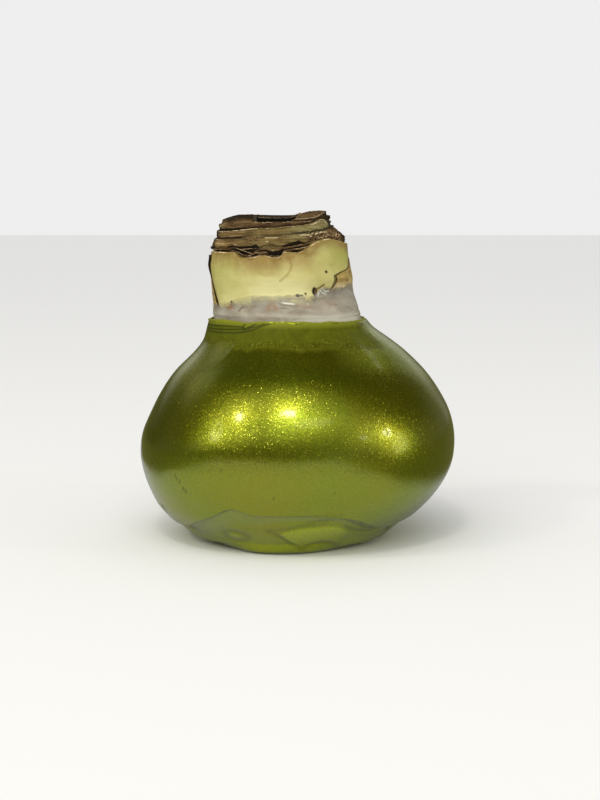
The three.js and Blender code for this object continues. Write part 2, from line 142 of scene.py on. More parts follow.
# The step in the wax over the foot, and how far the flat spot reaches, as a share of its radius.
CREASE = [
    [0, 9], [90, 10], [180, 8.5], [203, 6.6], [215, 6.9], [228, 9.7], [235, 11.6], [240, 13.4],
    [244, 15.0], [247, 15.4], [250.5, 14.7], [254.5, 13.8], [262, 13.8], [273, 14.0], [283, 13.4],
    [289, 12.8], [298, 11.2], [305, 9.2], [315, 7.4], [330, 7.6],
]
FOOT_SHARE = [
    [0, 0.96], [45, 0.97], [90, 1], [135, 0.96], [180, 0.95], [203, 0.87], [220, 0.88],
    [235, 0.96], [249, 1.05], [265, 1.06], [280, 1.03], [293, 0.98], [312, 0.91], [338, 0.9],
]
# How far the coat's rim lies above RIM_HEIGHT.
COAT_RIM = [
    [0, 0.0], [90, 0.3], [180, -0.3], [200, -0.1], [219, 0.3], [237, -0.25], [247, 0.0], [258, 0.2],
    [280, 0.15], [287, 0.0], [295, -0.15], [303, 0.0], [317, -0.3], [338, -0.2],
]
# The dried layers at the front of the cut, outermost first: their edges.
PAPERY_LAYERS = [
    [[216, 88.9], [221.8, 88.95], [226.2, 88.35], [232.2, 87.75], [238.9, 87.6], [245.2, 87.7],
     [250.3, 88.1], [258.9, 88.15], [260.5, 87.4], [271, 87.4], [276, 88.2], [285, 88.2],
     [296, 89.2], [304, 90.8], [310, 91.4]],
    [[214, 89.3], [222.2, 89.4], [227.1, 89.0], [231.3, 88.35], [237, 88.05], [240.3, 87.95],
     [243.7, 88.3], [248.4, 88.95], [254.5, 89.05], [259.2, 89.0], [260.4, 88.1], [272.3, 88.1],
     [275.2, 89.45], [281.8, 89.9], [291.6, 90.2], [299.1, 90.7], [303.5, 91.3], [306, 91.7],
     [312, 92.0]],
    [[212, 89.8], [221, 90.2], [227.9, 90.1], [231.5, 89.7], [236.3, 89.25], [241, 88.7],
     [243.1, 88.65], [248.5, 89.35], [253.3, 89.8], [258.4, 89.9], [260.7, 89.6], [268.3, 89.55],
     [273.8, 90.1], [276.9, 90.35], [282.9, 90.8], [290.8, 91.1], [298, 91.45], [304.4, 92.0],
     [312, 92.3]],
]
# The old scale at the back: [height, bearing] of its margins, and its top edge.
MARGIN_RIGHT = [
    [66, -50], [75, -46], [78, -42], [79.7, -40], [80.8, -39.5], [81.9, -39.5], [82.3, -36],
    [83.0, -28], [83.6, -19], [85, -11], [90, -8],
]
MARGIN_LEFT = [
    [66, 204], [73, 201.5], [75.1, 199], [77.8, 196], [81.7, 191], [85.5, 184.5], [88, 183],
]
SCALE_BACK_TOP = [
    [0, 86.6], [45, 88.2], [90, 89.4], [135, 88.8], [180, 87.8], [205, 87.2], [320, 84],
    [352, 85.7],
]

# Radius at which lines and spots on the neck are measured.
NECK_RADIUS = 20.0


# ---------------------------------------------------------------- curves and outlines
def along(rows, position, column=1, closed=False):
    """Smooth curve through rows [position, value, ...]. A closed one repeats after 360."""
    table = np.array(rows, float)
    at, value = table[:, 0], table[:, column]
    if closed:
        position = np.mod(position, 360)
        at = np.concatenate([at[-2:] - 360, at, at[:3] + 360])
        value = np.concatenate([value[-2:], value, value[:3]])
    else:
        at = np.concatenate([at[:1], at, at[-1:]])
        value = np.concatenate([value[:1], value, value[-1:]])
    i = np.clip(np.searchsorted(at, position, side="right") - 1, 1, len(at) - 3)
    span = at[i + 1] - at[i]
    u = np.clip((position - at[i]) / span, 0, 1)
    slope_start = (value[i + 1] - value[i - 1]) / (at[i + 1] - at[i - 1]) * span
    slope_end = (value[i + 2] - value[i]) / (at[i + 2] - at[i]) * span
    rise = value[i + 1] - value[i]
    return value[i] + u * (slope_start + u * (
        3 * rise - 2 * slope_start - slope_end + u * (slope_start + slope_end - 2 * rise)))


def edge(rows, bearing):
    """Height, or another value, of a closed curve at a bearing."""
    return along(rows, bearing, 1, True)


def smooth(x, low, high):
    """Soft step: 0 up to low, 1 from high on."""
    u = np.clip((x - low) / (high - low), 0, 1)
    return u * u * (3 - 2 * u)


def mix(a, b, share):
    """Goes from a to b as share goes from 0 to 1."""
    return a + (b - a) * share


def turn(bearing, at):
    """Signed angle from one bearing to another, -180 to 180."""
    return np.mod(bearing - at + 180, 360) - 180


def wavy(bearing, seed, waves, height):
    """Closed wavy line: many sines of about the given number of waves round a piece."""
    rng = np.random.default_rng(seed)
    total = 0.0
    for k in rng.integers(int(waves * 0.6), int(waves * 1.5) + 2, 7):
        total = total + np.sin(k * np.radians(bearing) + rng.uniform(0, TURN))
    return total * height / 2.6


def ripple(bearing, z, seed, size, height, stretch=1.0, radius=22.0):
    """Relief over a piece's face: sines in many directions with a wavelength of about size mm.
    A stretch above 1 makes its marks longer round the piece than they are high."""
    rng = np.random.default_rng(seed)
    total = 0.0
    for _ in range(14):
        heading, phase = rng.uniform(0, HALF_TURN), rng.uniform(0, TURN)
        length = size * rng.uniform(0.7, 1.4)
        k = np.round(2 * np.pi * radius / (length * stretch) * np.cos(heading))
        across = k * np.radians(bearing)
        total = total + np.sin(across + TURN / length * np.sin(heading) * z + phase)
    return total * height / 3.7


def section(outline, z):
    """Centre, half-width, depth share and the half-width's slope of an outline at a height."""
    step = 0.2
    cx, a, share = (along(outline, z, column) for column in (1, 2, 3))
    slope = (along(outline, z + step, 2) - along(outline, z - step, 2)) / (2 * step)
    return cx, a, share, slope


def on_outline(outline, bearing, z, inset):
    """Points on an outline moved inwards, level, by inset."""
    z = z + 0 * bearing
    cx, a, share, _ = section(outline, z)
    t = np.radians(bearing)
    x, y, z = np.broadcast_arrays(
        cx + (a - inset) * np.cos(t), (a * share - inset) * np.sin(t), z)
    return np.stack([x, y, z], -1)


def inside_coat(bearing, z, inset):
    """Points of the wax coat's outline moved in, square to its surface, by inset."""
    slope = section(COAT_OUTLINE, z + 0 * bearing)[3]
    length = np.hypot(1, slope)
    points = on_outline(COAT_OUTLINE, bearing, z, inset / length)
    points[..., 2] += inset * slope / length
    return points


def inset_of(side, face, bearing):
    """Inset that changes smoothly from the sides of the neck to its front and back faces."""
    swell = np.hypot(np.sin(np.radians(bearing)), FACE_SMOOTH) - FACE_SMOOTH
    return side + (face - side) * swell / (np.hypot(1, FACE_SMOOTH) - FACE_SMOOTH)


def pocket_inset(bearing):
    """Inset of the pocket's wall in the neck; its back is thicker than its front."""
    side, front, back = POCKET
    face = np.where(np.sin(np.radians(bearing)) < 0, front, back)
    return inset_of(side, face, bearing)


def stroke(bearing, z, points, width, radius=NECK_RADIUS):
    """Soft mask, 1 on a line drawn through [bearing, height] points on a face, 0 beyond width."""
    x, best = np.radians(bearing) * radius, 1e9
    for (b0, z0), (b1, z1) in zip(points[:-1], points[1:]):
        x0, x1 = np.radians(b0) * radius, np.radians(b1) * radius
        dx, dz = x1 - x0, z1 - z0
        u = np.clip(((x - x0) * dx + (z - z0) * dz) / (dx * dx + dz * dz + 1e-9), 0, 1)
        best = np.minimum(best, np.hypot(x - x0 - u * dx, z - z0 - u * dz))
    return 1 - smooth(best, 0.25 * width, width)


def spot(bearing, z, at, size, radius=NECK_RADIUS):
    """Distance from a spot's centre, in spot sizes (round the piece, up)."""
    return np.hypot(np.radians(bearing - at[0]) * radius / size[0], (z - at[1]) / size[1])


def strokes(bearing, z, rows, radius=NECK_RADIUS):
    """Soft mask of several lines: rows of share, width and the line's points."""
    mask = 0.0
    for share, width, *points in rows:
        mask = np.maximum(mask, share * stroke(bearing, z, points, width, radius))
    return mask


def spots(bearing, z, rows, power=2, radius=NECK_RADIUS):
    """Soft mask of several spots: rows of share, centre and size. More power, sharper edges."""
    mask = 0.0
    for share, at, size in rows:
        mask = np.maximum(mask, share * np.exp(-spot(bearing, z, at, size, radius) ** power))
    return mask


# ---------------------------------------------------------------- meshes
def bearings(front, back):
    """Bearings round a piece, closer together over the front half."""
    return np.concatenate([
        np.linspace(0, 180, back, endpoint=False), np.linspace(180, 360, front, endpoint=False)])


def make_piece(name, points, faces, material, marks=None):
    """A smooth mesh object from points in millimetres, with a float mark for each name."""
    mesh = bpy.data.meshes.new(name)
    mesh.from_pydata((np.asarray(points) * MM).tolist(), [], faces)
    mesh.shade_smooth()
    for mark, values in (marks or {}).items():
        layer = mesh.attributes.new(mark, "FLOAT", "POINT")
        layer.data.foreach_set("value", np.asarray(values, np.float32))
    mesh.materials.append(material)
    obj = bpy.data.objects.new(name, mesh)
    bpy.context.scene.collection.objects.link(obj)
    return obj


def strip_faces(rows, around, loop, wrap=True):
    """Four-sided faces between rows of points; loop joins the last row to the first."""
    i = np.arange(rows if loop else rows - 1)[:, None]
    j = np.arange(around if wrap else around - 1)[None, :]
    here, over = i * around, ((i + 1) % rows) * around
    right = (j + 1) % around
    return np.stack([here + j, here + right, over + right, over + j], -1).reshape(-1, 4).tolist()


def tube(name, grid, material, marks, loop=False, start=None, end=None):
    """A closed piece from rings of points, grid[ring, round, xyz], with poles or as a loop."""
    rows, around = grid.shape[:2]
    points = [grid.reshape(-1, 3)]
    values = {mark: [np.broadcast_to(v, (rows, around)).ravel()]
              for mark, v in marks.items()}
    faces = strip_faces(rows, around, loop)
    count = rows * around
    for pole, first, turn in ((start, 0, 1), (end, count - around, 0)):
        if pole is None:
            continue
        points.append(np.array([pole], float))
        for mark in values:
            values[mark].append(values[mark][0][first:first + 1])
        for j in range(around):
            pair = [first + j, first + (j + 1) % around]
            faces.append([count, *(pair[::-1] if turn else pair)])
        count += 1
    return make_piece(name, np.concatenate(points), faces, material,
                      {mark: np.concatenate(v) for mark, v in values.items()})


class Rings:
    """Collects a piece's rings of points and their colour marks, in order along the piece."""

    def __init__(self, bearing, names):
        self.bearing, self.points = bearing, []
        self.marks = {name: [] for name in names}

    def put(self, points, found):
        """Adds a ring. A mark that isn't in found is 0 there."""
        self.points.append(points[0])
        for name, values in self.marks.items():
            values.append((found.get(name, 0.0) + 0 * self.bearing)[0])

    def piece(self, name, material, **ends):
        return tube(name, np.stack(self.points), material,
                    {mark: np.stack(v) for mark, v in self.marks.items()}, **ends)


def sheet(outer, inner, marks):
    """Points, faces and marks of a thick sheet; outer and inner are [across, up, xyz]."""
    across, up = outer.shape[:2]
    grid = np.concatenate([outer, inner[:, ::-1]], 1)
    around = 2 * up
    faces = [f[::-1] for f in strip_faces(across, around, False)]
    last = (across - 1) * around
    for k in range(up - 1):
        near, far = around - 1 - k, around - 2 - k
        faces.append([k, k + 1, far, near])
        faces.append([last + near, last + far, last + k + 1, last + k])
    both = {mark: np.concatenate([v, v[:, ::-1]], 1).ravel() for mark, v in marks.items()}
    return grid.reshape(-1, 3), faces, both


def join_sheets(name, sheets, material):
    """One piece out of several sheets."""
    points, faces, marks, count = [], [], {}, 0
    for grid, quads, values in sheets:
        points.append(grid)
        faces += [[v + count for v in quad] for quad in quads]
        for mark, v in values.items():
            marks.setdefault(mark, []).append(v)
        count += len(grid)
    return make_piece(name, np.concatenate(points), faces, material,
                      {mark: np.concatenate(v) for mark, v in marks.items()})


# ---------------------------------------------------------------- shader building
def paint(red, green, blue):
    """Linear colour from the usual 0 to 255 screen values."""
    channels = [v / 255 for v in (red, green, blue)]
    return (*[v / 12.92 if v <= 0.04045 else ((v + 0.055) / 1.055) ** 2.4 for v in channels], 1.0)


class Tree:
    """Short words for adding linked nodes to a node tree."""

    def __init__(self, tree):
        self.tree = tree

    def add(self, kind, inputs=None, **settings):
        node = self.tree.nodes.new(kind)
        for key, value in settings.items():
            setattr(node, key, value)
        for key, value in (inputs or {}).items():
            self.set(node.inputs[key], value)
        return node

    def set(self, socket, value):
        if isinstance(value, bpy.types.NodeSocket):
            self.tree.links.new(value, socket)
        else:
            socket.default_value = value

    def noise(self, vector, scale, detail=2.0, roughness=0.5, distortion=0.0):
        return self.add("ShaderNodeTexNoise", {
            "Vector": vector, "Scale": scale, "Detail": detail, "Roughness": roughness,
            "Distortion": distortion}).outputs[0]

    def stretched(self, vector, scale):
        return self.add("ShaderNodeMapping", {"Vector": vector, "Scale": scale}).outputs[0]

    def ramp(self, value, low, high, to_low=0.0, to_high=1.0):
        return self.add("ShaderNodeMapRange", {
            0: value, 1: low, 2: high, 3: to_low, 4: to_high}).outputs[0]

    def math(self, operation, a, b=0.0):
        return self.add("ShaderNodeMath", {0: a, 1: b}, operation=operation).outputs[0]

    def chain(self, operation, first, *others):
        for other in others:
            first = self.math(operation, first, other)
        return first

    def times(self, *values):
        return self.chain("MULTIPLY", *values)

    def plus(self, *values):
        return self.chain("ADD", *values)

    def highest(self, *values):
        return self.chain("MAXIMUM", *values)

    def vector(self, operation, *vectors, **inputs):
        """A vector node's result; inputs are further sockets, such as Scale."""
        return self.add("ShaderNodeVectorMath", {**dict(enumerate(vectors)), **inputs},
                        operation=operation).outputs[0]

    def blend(self, share, a, b, number=False):
        if number:
            return self.add("ShaderNodeMix", {0: share, 2: a, 3: b}).outputs[0]
        return self.add("ShaderNodeMix", {0: share, 6: a, 7: b}, data_type="RGBA").outputs[2]

    def layers(self, colour, *rows):
        """Paints over a colour, row by row; each row is a share and a colour."""
        for share, over in rows:
            colour = self.blend(share, colour, over)
        return colour

    def mark(self, name):
        return self.add("ShaderNodeAttribute", attribute_name=name).outputs["Fac"]

    def place(self):
        return self.add("ShaderNodeTexCoord").outputs["Object"]

    def bump(self, height, distance, strength=1.0):
        return self.add("ShaderNodeBump", {
            "Height": height, "Distance": distance, "Strength": strength}).outputs[0]

    def group(self, group, **inputs):
        node = self.add("ShaderNodeGroup", node_tree=group)
        for key, value in inputs.items():
            self.set(node.inputs[key.replace("_", " ").capitalize()], value)
        return node.outputs


def new_group(name, inputs, outputs):
    """An empty shader node group with named sockets: {name: (kind, value)} and {name: kind}."""
    tree = bpy.data.node_groups.new(name, "ShaderNodeTree")
    for label, (kind, value) in inputs.items():
        socket = tree.interface.new_socket(label, in_out="INPUT", socket_type="NodeSocket" + kind)
        if value is not None:
            socket.default_value = value
    for label, kind in outputs.items():
        tree.interface.new_socket(label, in_out="OUTPUT", socket_type="NodeSocket" + kind)
    shade = Tree(tree)
    entry = shade.add("NodeGroupInput").outputs
    leave = shade.add("NodeGroupOutput").inputs
    return tree, shade, entry, leave


def fibre_group():
    """Fine lines that run round the piece, as in dry scale tissue."""
    tree, shade, entry, leave = new_group(
        "dry fibres",
        {"Vector": ("Vector", None), "Fineness": ("Float", 900.0), "Waviness": ("Float", 0.4)},
        {"Lines": "Float", "Blotches": "Float"})
    flat = shade.stretched(entry["Vector"], (0.16, 0.16, 1.0))
    shade.set(leave["Lines"], shade.noise(flat, entry["Fineness"], 5.0, 0.62, entry["Waviness"]))
    shade.set(leave["Blotches"], shade.noise(entry["Vector"], 210.0, 4.0, 0.6, 0.5))
    return tree


def cut_edge_group():
    """Colour change towards a cut edge: a pale line at the edge and a darker zone under it."""
    tree, shade, entry, leave = new_group(
        "cut edge",
        {"Colour": ("Color", (0.5, 0.5, 0.5, 1)), "Edge colour": ("Color", (0.6, 0.5, 0.3, 1)),
         "Shade colour": ("Color", (0.1, 0.08, 0.04, 1)), "Distance": ("Float", 1.0),
         "Edge width": ("Float", 0.3), "Shade width": ("Float", 1.2), "Breaks": ("Float", 0.5)},
        {"Colour": "Color"})
    worn = shade.plus(entry["Distance"], shade.times(entry["Breaks"], 0.2))
    under = shade.ramp(worn, 0.0, entry["Shade width"], 0.75, 0.0)
    line = shade.ramp(worn, entry["Edge width"], shade.times(entry["Edge width"], 0.5))
    shade.set(leave["Colour"], shade.layers(
        entry["Colour"], (under, entry["Shade colour"]), (line, entry["Edge colour"])))
    return tree


def speck_group():
    """Scattered small dark specks."""
    tree, shade, entry, leave = new_group(
        "specks",
        {"Vector": ("Vector", None), "Spacing": ("Float", 300.0), "Size": ("Float", 0.16),
         "Share": ("Float", 0.3)},
        {"Mask": "Float"})
    cells = shade.add("ShaderNodeTexVoronoi", {
        "Vector": entry["Vector"], "Scale": entry["Spacing"]}).outputs
    red = shade.add("ShaderNodeSeparateColor", {0: cells["Color"]}).outputs[0]
    chosen = shade.math("LESS_THAN", red, entry["Share"])
    near = shade.ramp(cells["Distance"], entry["Size"], shade.times(entry["Size"], 0.5))
    shade.set(leave["Mask"], shade.times(near, chosen))
    return tree


FIBRES, CUT_EDGE, SPECKS = fibre_group(), cut_edge_group(), speck_group()


def new_material(name):
    """A material, its tree, and the sockets of its surface shader."""
    material = bpy.data.materials.new(name)
    material.use_nodes = True
    shade = Tree(material.node_tree)
    return material, shade, material.node_tree.nodes["Principled BSDF"].inputs


# Linear colours of the green wax.
WAX_BODY = (0.345, 0.350, 0.016, 1), (0.280, 0.355, 0.016, 1)
WAX_THIN = (0.076, 0.083, 0.002, 1), (0.108, 0.119, 0.003, 1)
WAX_RIM_TOP = (0.225, 0.240, 0.018, 1)
WAX_PAINTED_LIGHT = (0.60, 0.68, 0.030, 1)
WAX_PAINTED_REFLECTION = (0.31, 0.36, 0.10, 1)
WAX_GROOVE_SHADE = (0.035, 0.040, 0.003, 1)
WAX_LIVELY_FLAKE = (0.40, 0.40, 0.05, 1)
FLAKES_PER_METRE = 7400.0


def wax_colour(shade, place):
    """Colour of the wax: its body and thin edge, with painted light, a painted reflection and
    painted shade.
    """
    tone = shade.ramp(shade.noise(place, 38.0, 2.0, 0.5, 0.6), 0.35, 0.65)
    streaks = shade.noise(shade.stretched(place, (1, 1, 0.5)), 260.0, 3.0, 0.6, 1.5)
    height = shade.add("ShaderNodeSeparateXYZ", {0: place}).outputs[2]
    thin = shade.blend(shade.ramp(streaks, 0.35, 0.75), *WAX_THIN)
    thin = shade.blend(shade.ramp(height, 0.0664, 0.0684), thin, WAX_RIM_TOP)
    return shade.layers(
        shade.blend(tone, *WAX_BODY), (shade.ramp(shade.mark("thin"), 0.0, 0.5), thin),
        (shade.mark("facet_and_painted_light"), WAX_PAINTED_LIGHT), (shade.times(shade.mark("painted_reflection"), 0.8), WAX_PAINTED_REFLECTION),
        (shade.mark("groove_shade"), WAX_GROOVE_SHADE))


def flake_normal(shade, flakes, lively, dice):
    """The surface's direction, leaned at random from flake to flake."""
    tilt = shade.add("ShaderNodeTexWhiteNoise", {0: flakes["Position"]}).outputs["Color"]
    tilt = shade.vector("ADD", tilt, (-0.5, -0.5, -0.5))
    lean = shade.plus(shade.times(shade.math("POWER", dice, 2.0), 0.46), 0.08)
    tilt = shade.vector("SCALE", tilt, Scale=shade.plus(shade.times(lively, lean), 0.08))
    normal = shade.add("ShaderNodeNewGeometry").outputs["Normal"]
    return shade.vector("NORMALIZE", shade.vector("ADD", normal, tilt))


def metallic_wax():
    """Yellow-green wax full of fine metallic flakes under a clear smooth skin."""
    material, shade, surface = new_material("metallic green wax")
    place = shade.place()
    flakes = shade.add("ShaderNodeTexVoronoi", {
        "Vector": place, "Scale": FLAKES_PER_METRE}).outputs
    dice = shade.add("ShaderNodeSeparateColor", {0: flakes["Color"]}).outputs
    thin = shade.mark("thin")
    lively = shade.math("GREATER_THAN", dice[2], shade.plus(shade.times(thin, 0.26), 0.74))
    colour = shade.vector(
        "MULTIPLY", wax_colour(shade, place), shade.ramp(dice[0], 0.0, 1.0, 0.88, 1.12))
    shade.set(surface["Base Color"], shade.blend(lively, colour, WAX_LIVELY_FLAKE))
    gloss = shade.blend(lively, shade.ramp(dice[1], 0.0, 1.0, 0.22, 0.40), 0.21, number=True)
    shade.set(surface["Roughness"], shade.blend(
        shade.ramp(thin, 0.4, 0.9), gloss, 0.55, number=True))
    shade.set(surface["Metallic"], shade.ramp(thin, 0.0, 1.0, 1.0, 0.1))
    shade.set(surface["Coat Weight"], shade.ramp(thin, 0.0, 0.8, 0.5, 0.05))
    shade.set(surface["Normal"], flake_normal(shade, flakes, lively, dice[1]))
    surface["Specular IOR Level"].default_value = 0.12
    surface["Coat Roughness"].default_value = 0.11
    surface["Coat IOR"].default_value = 1.5
    return material


def cloudy_wax():
    """Thin pale wax, cloudy and wrinkled, that lets the bulb show at its upper edge."""
    material, shade, surface = new_material("cloudy pale wax")
    place = shade.place()
    cloud = shade.noise(shade.stretched(place, (1, 1, 1.8)), 130.0, 4.0, 0.6, 0.8)
    veins = shade.noise(shade.stretched(place, (0.35, 0.35, 1.6)), 420.0, 3.0, 0.6, 1.2)
    wrinkles = shade.noise(shade.stretched(place, (0.5, 0.5, 1.3)), 520.0, 4.0, 0.6, 0.8)
    grain = shade.ramp(shade.noise(place, 900.0, 3.0), 0.3, 0.6, 0.35, 1.0)
    milk_and_highlight, dark = shade.mark("milk_and_highlight"), shade.mark("dark")
    shade.set(surface["Base Color"], shade.layers(
        shade.blend(shade.ramp(cloud, 0.35, 0.68), paint(136, 126, 109), paint(172, 163, 147)),
        (milk_and_highlight, paint(190, 186, 170)),
        # Painted highlight where the mark passes 1: the film's highlights and the whitest shreds.
        (shade.ramp(milk_and_highlight, 1.1, 1.5), paint(246, 244, 238)),
        (shade.ramp(veins, 0.56, 0.70, 0.0, 0.4), paint(116, 100, 84)),
        (shade.times(shade.mark("rust"), grain), paint(164, 112, 72)),
        (dark, paint(60, 44, 30))))
    shade.set(surface["Alpha"], shade.highest(shade.mark("cover"), dark))
    shade.set(surface["Normal"], shade.bump(wrinkles, 0.00014, 0.7))
    surface["Roughness"].default_value = 0.34
    surface["Coat Weight"].default_value = 0.25
    surface["Coat Roughness"].default_value = 0.25
    surface["Subsurface Weight"].default_value = 0.15
    surface["Subsurface Radius"].default_value = (0.0012, 0.001, 0.0007)
    surface["Subsurface Scale"].default_value = 1.0
    return material


def living_scale():
    """Pale yellow-green living scale: smooth, browned and stained towards its cut edge."""
    material, shade, surface = new_material("pale bulb scale")
    place = shade.place()
    fibres = shade.group(FIBRES, vector=place, fineness=700.0, waviness=0.5)
    soft = shade.noise(place, 75.0, 3.0, 0.55, 0.4)
    patches = shade.noise(place, 300.0, 4.0, 0.6, 0.7)
    brown = shade.blend(
        shade.ramp(fibres["Blotches"], 0.4, 0.62), paint(140, 118, 58), paint(164, 143, 82))
    browned = shade.times(shade.mark("worn"), shade.ramp(patches, 0.3, 0.65, 0.7, 1.1))
    stain = shade.times(
        shade.mark("stain"), shade.ramp(fibres["Blotches"], 0.3, 0.65, 0.55, 1.0))
    specks = shade.group(SPECKS, vector=place, spacing=950.0, size=0.16, share=0.3)["Mask"]
    specks = shade.times(specks, shade.ramp(soft, 0.5, 0.6, 0.0, 0.5))
    colour = shade.layers(
        shade.blend(shade.ramp(soft, 0.35, 0.68), paint(186, 177, 106), paint(212, 205, 142)),
        (shade.mark("pale"), paint(224, 217, 160)),
        (shade.mark("green"), paint(168, 166, 80)),
        (shade.ramp(fibres["Lines"], 0.45, 0.75, 0.0, 0.25), paint(170, 152, 88)),
        (browned, brown), (stain, paint(134, 92, 42)), (specks, paint(124, 104, 56)))
    colour = shade.group(
        CUT_EDGE, colour=colour, edge_colour=paint(226, 202, 156), shade_colour=paint(132, 100, 50),
        distance=shade.mark("below"), edge_width=0.3, shade_width=1.0,
        breaks=shade.ramp(patches, 0.42, 0.62))["Colour"]
    dark = shade.mark("dark")
    shade.set(surface["Base Color"], shade.blend(dark, colour, paint(26, 13, 6)))
    shade.set(surface["Coat Weight"], shade.ramp(dark, 0.0, 0.8, 0.15, 0.0))
    height = shade.plus(fibres["Lines"], shade.times(soft, 1.5))
    shade.set(surface["Normal"], shade.bump(height, 0.00012, 0.5))
    surface["Specular IOR Level"].default_value = 0.3
    surface["Roughness"].default_value = 0.46
    surface["Coat Roughness"].default_value = 0.25
    surface["Subsurface Weight"].default_value = 0.12
    surface["Subsurface Radius"].default_value = (0.0014, 0.0010, 0.0005)
    surface["Subsurface Scale"].default_value = 1.0
    return material


def dry_tissue(name, colours, edge_colour, shade_colour, edge_width,
               shade_width=1.0, relief=0.0002, roughness=0.75):
    """Dry scale tissue of a dark, a middle and a light colour, with its cut edge."""
    material, shade, surface = new_material(name)
    place = shade.place()
    fibres = shade.group(FIBRES, vector=place, fineness=1100.0, waviness=0.8)
    lines, blotches = fibres["Lines"], fibres["Blotches"]
    streak = shade.ramp(lines, 0.42, 0.58)
    grain = shade.noise(place, 2100.0, 4.0, 0.7)
    grit = shade.times(shade.noise(place, 1900.0, 3.0, 0.65), 0.7)
    dark, middle, light = colours
    crust = shade.layers(
        paint(36, 23, 12), (shade.ramp(grain, 0.38, 0.58), paint(120, 93, 58)),
        (shade.ramp(grain, 0.60, 0.68), paint(196, 172, 128)))
    colour = shade.layers(
        shade.blend(streak, dark, middle),
        (shade.ramp(blotches, 0.48, 0.72), light),
        (shade.mark("tan"), shade.blend(streak, paint(96, 72, 42), paint(138, 112, 70))),
        (shade.mark("green"), shade.blend(streak, paint(120, 108, 64), paint(148, 139, 94))),
        (shade.mark("crust"), crust))
    colour = shade.group(
        CUT_EDGE, colour=colour, edge_colour=edge_colour, shade_colour=shade_colour,
        distance=shade.mark("below"), edge_width=edge_width, shade_width=shade_width,
        breaks=shade.ramp(blotches, 0.42, 0.56, 0.0, 1.6))["Colour"]
    # The dark mark is the old scale's dark margins and painted shade: in gaps between scales, in
    # the slot and at the sides.
    shade.set(surface["Base Color"], shade.layers(
        colour, (shade.mark("cream"), paint(218, 198, 158)), (shade.mark("dark"), paint(12, 7, 5))))
    shade.set(surface["Normal"], shade.bump(shade.plus(lines, grit), relief, 0.9))
    shade.set(surface["Roughness"], shade.ramp(
        blotches, 0.3, 0.7, roughness - 0.12, roughness + 0.12))
    surface["Specular IOR Level"].default_value = 0.2
    return material


def floor_material():
    """Pale table top. In reflections it ends in soft shade some way out on both sides."""
    material, shade, surface = new_material("pale table")
    place = shade.place()
    grain = shade.noise(place, 40.0, 3.0)
    x, y = shade.add("ShaderNodeSeparateXYZ", {0: place}).outputs[:2]

    def beyond(start_y, spread, lean, start):
        off = shade.math("SUBTRACT", y, start_y)
        out = shade.times(shade.math("ABSOLUTE", off), spread)
        return shade.plus(out, shade.times(off, lean), start)

    right = shade.math("SUBTRACT", x, beyond(-0.040, 0.265, -0.215, 0.062))
    left = shade.math("SUBTRACT", shade.times(x, -1.0), beyond(0.009, 0.775, -0.725, 0.092))
    far = shade.ramp(shade.highest(right, left), -0.004, 0.014)
    path = shade.add("ShaderNodeLightPath").outputs
    shade.set(surface["Base Color"], shade.layers(
        shade.blend(grain, (0.77, 0.765, 0.75, 1), (0.80, 0.795, 0.78, 1)),
        (path["Is Glossy Ray"], (0.60, 0.61, 0.66, 1)),
        (path["Is Camera Ray"], (0.93, 0.925, 0.91, 1)),
        (shade.times(far, path["Is Glossy Ray"]), (0.17, 0.165, 0.06, 1))))
    surface["Roughness"].default_value = 1.0
    surface["Specular IOR Level"].default_value = 0.0
    return material


green_wax = metallic_wax()
pale_wax = cloudy_wax()
bulb_flesh = living_scale()
old_scale = dry_tissue(
    "old brown scale", (paint(144, 118, 62), paint(178, 154, 90), paint(192, 172, 110)),
    edge_colour=paint(120, 84, 44), shade_colour=paint(110, 78, 40),
    edge_width=0.4, relief=0.00018, roughness=0.6)
papery = dry_tissue(
    "papery dried scale", (paint(58, 40, 25), paint(98, 72, 44), paint(124, 98, 64)),
    edge_colour=paint(186, 160, 120), shade_colour=paint(38, 25, 15),
    edge_width=0.2, shade_width=0.5)
cut_flesh = dry_tissue(
    "cut fleshy scale", (paint(88, 70, 38), paint(118, 98, 56), paint(134, 117, 72)),
    edge_colour=paint(204, 184, 144), shade_colour=paint(76, 58, 32),
    edge_width=0.24, shade_width=0.6)
core_tissue = dry_tissue(
    "dried core", (paint(56, 42, 27), paint(94, 74, 46), paint(122, 100, 64)),
    edge_colour=paint(130, 106, 70), shade_colour=paint(52, 36, 22),
    edge_width=0.2, shade_width=0.6, relief=0.0003)


# ---------------------------------------------------------------- the wax coat
# Lines are rows of share, width and [bearing, height] points; spots of share, centre and size.
COAT_MARKS = ("facet_and_painted_light", "thin", "groove_shade", "painted_reflection")
DENT = ((244.3, 5.9), (3.6, 1.7))
FACET_LOW = [
    [260, 8.0], [265, 7.0], [267.5, 5.9], [270.3, 4.4], [274, 3.2], [277.6, 2.8], [281, 3.5],
    [284, 4.2], [288.2, 4.3], [292.3, 3.8], [298.5, 2.4], [304, 1.5],
]
FACET_HIGH = [
    [260, 8.1], [265, 7.7], [268, 8.3], [271, 9.0], [275, 9.5], [281, 9.9], [287, 9.9],
    [292, 9.1], [296, 7.8], [304, 5.0],
]
FACET_EDGE = [
    (1.0, 1.1, [261, 8.4], [265, 7.0], [267.5, 5.7], [270.3, 4.1], [274, 2.9], [277.6, 2.5],
     [281, 3.2], [284, 3.9], [288.2, 4.0], [292.3, 3.6], [298.5, 2.2]),
    (0.6, 0.9, [261, 8.4], [268, 9.3], [275, 10.3], [284, 10.6]),
]
CORNER_CREASES = [
    (1.0, 0.6, [291, 12.4], [295, 10.9], [299.7, 9.4], [305, 8.0], [317, 6.7]),
    (1.0, 0.6, [294, 9.3], [300.5, 7.4], [308, 6.4], [314.6, 6.3], [317.5, 6.7]),
]
SMEAR_LOW = [(1.0, 0.8, [276.9, 11.4], [281.5, 11.9], [286.5, 11.8])]
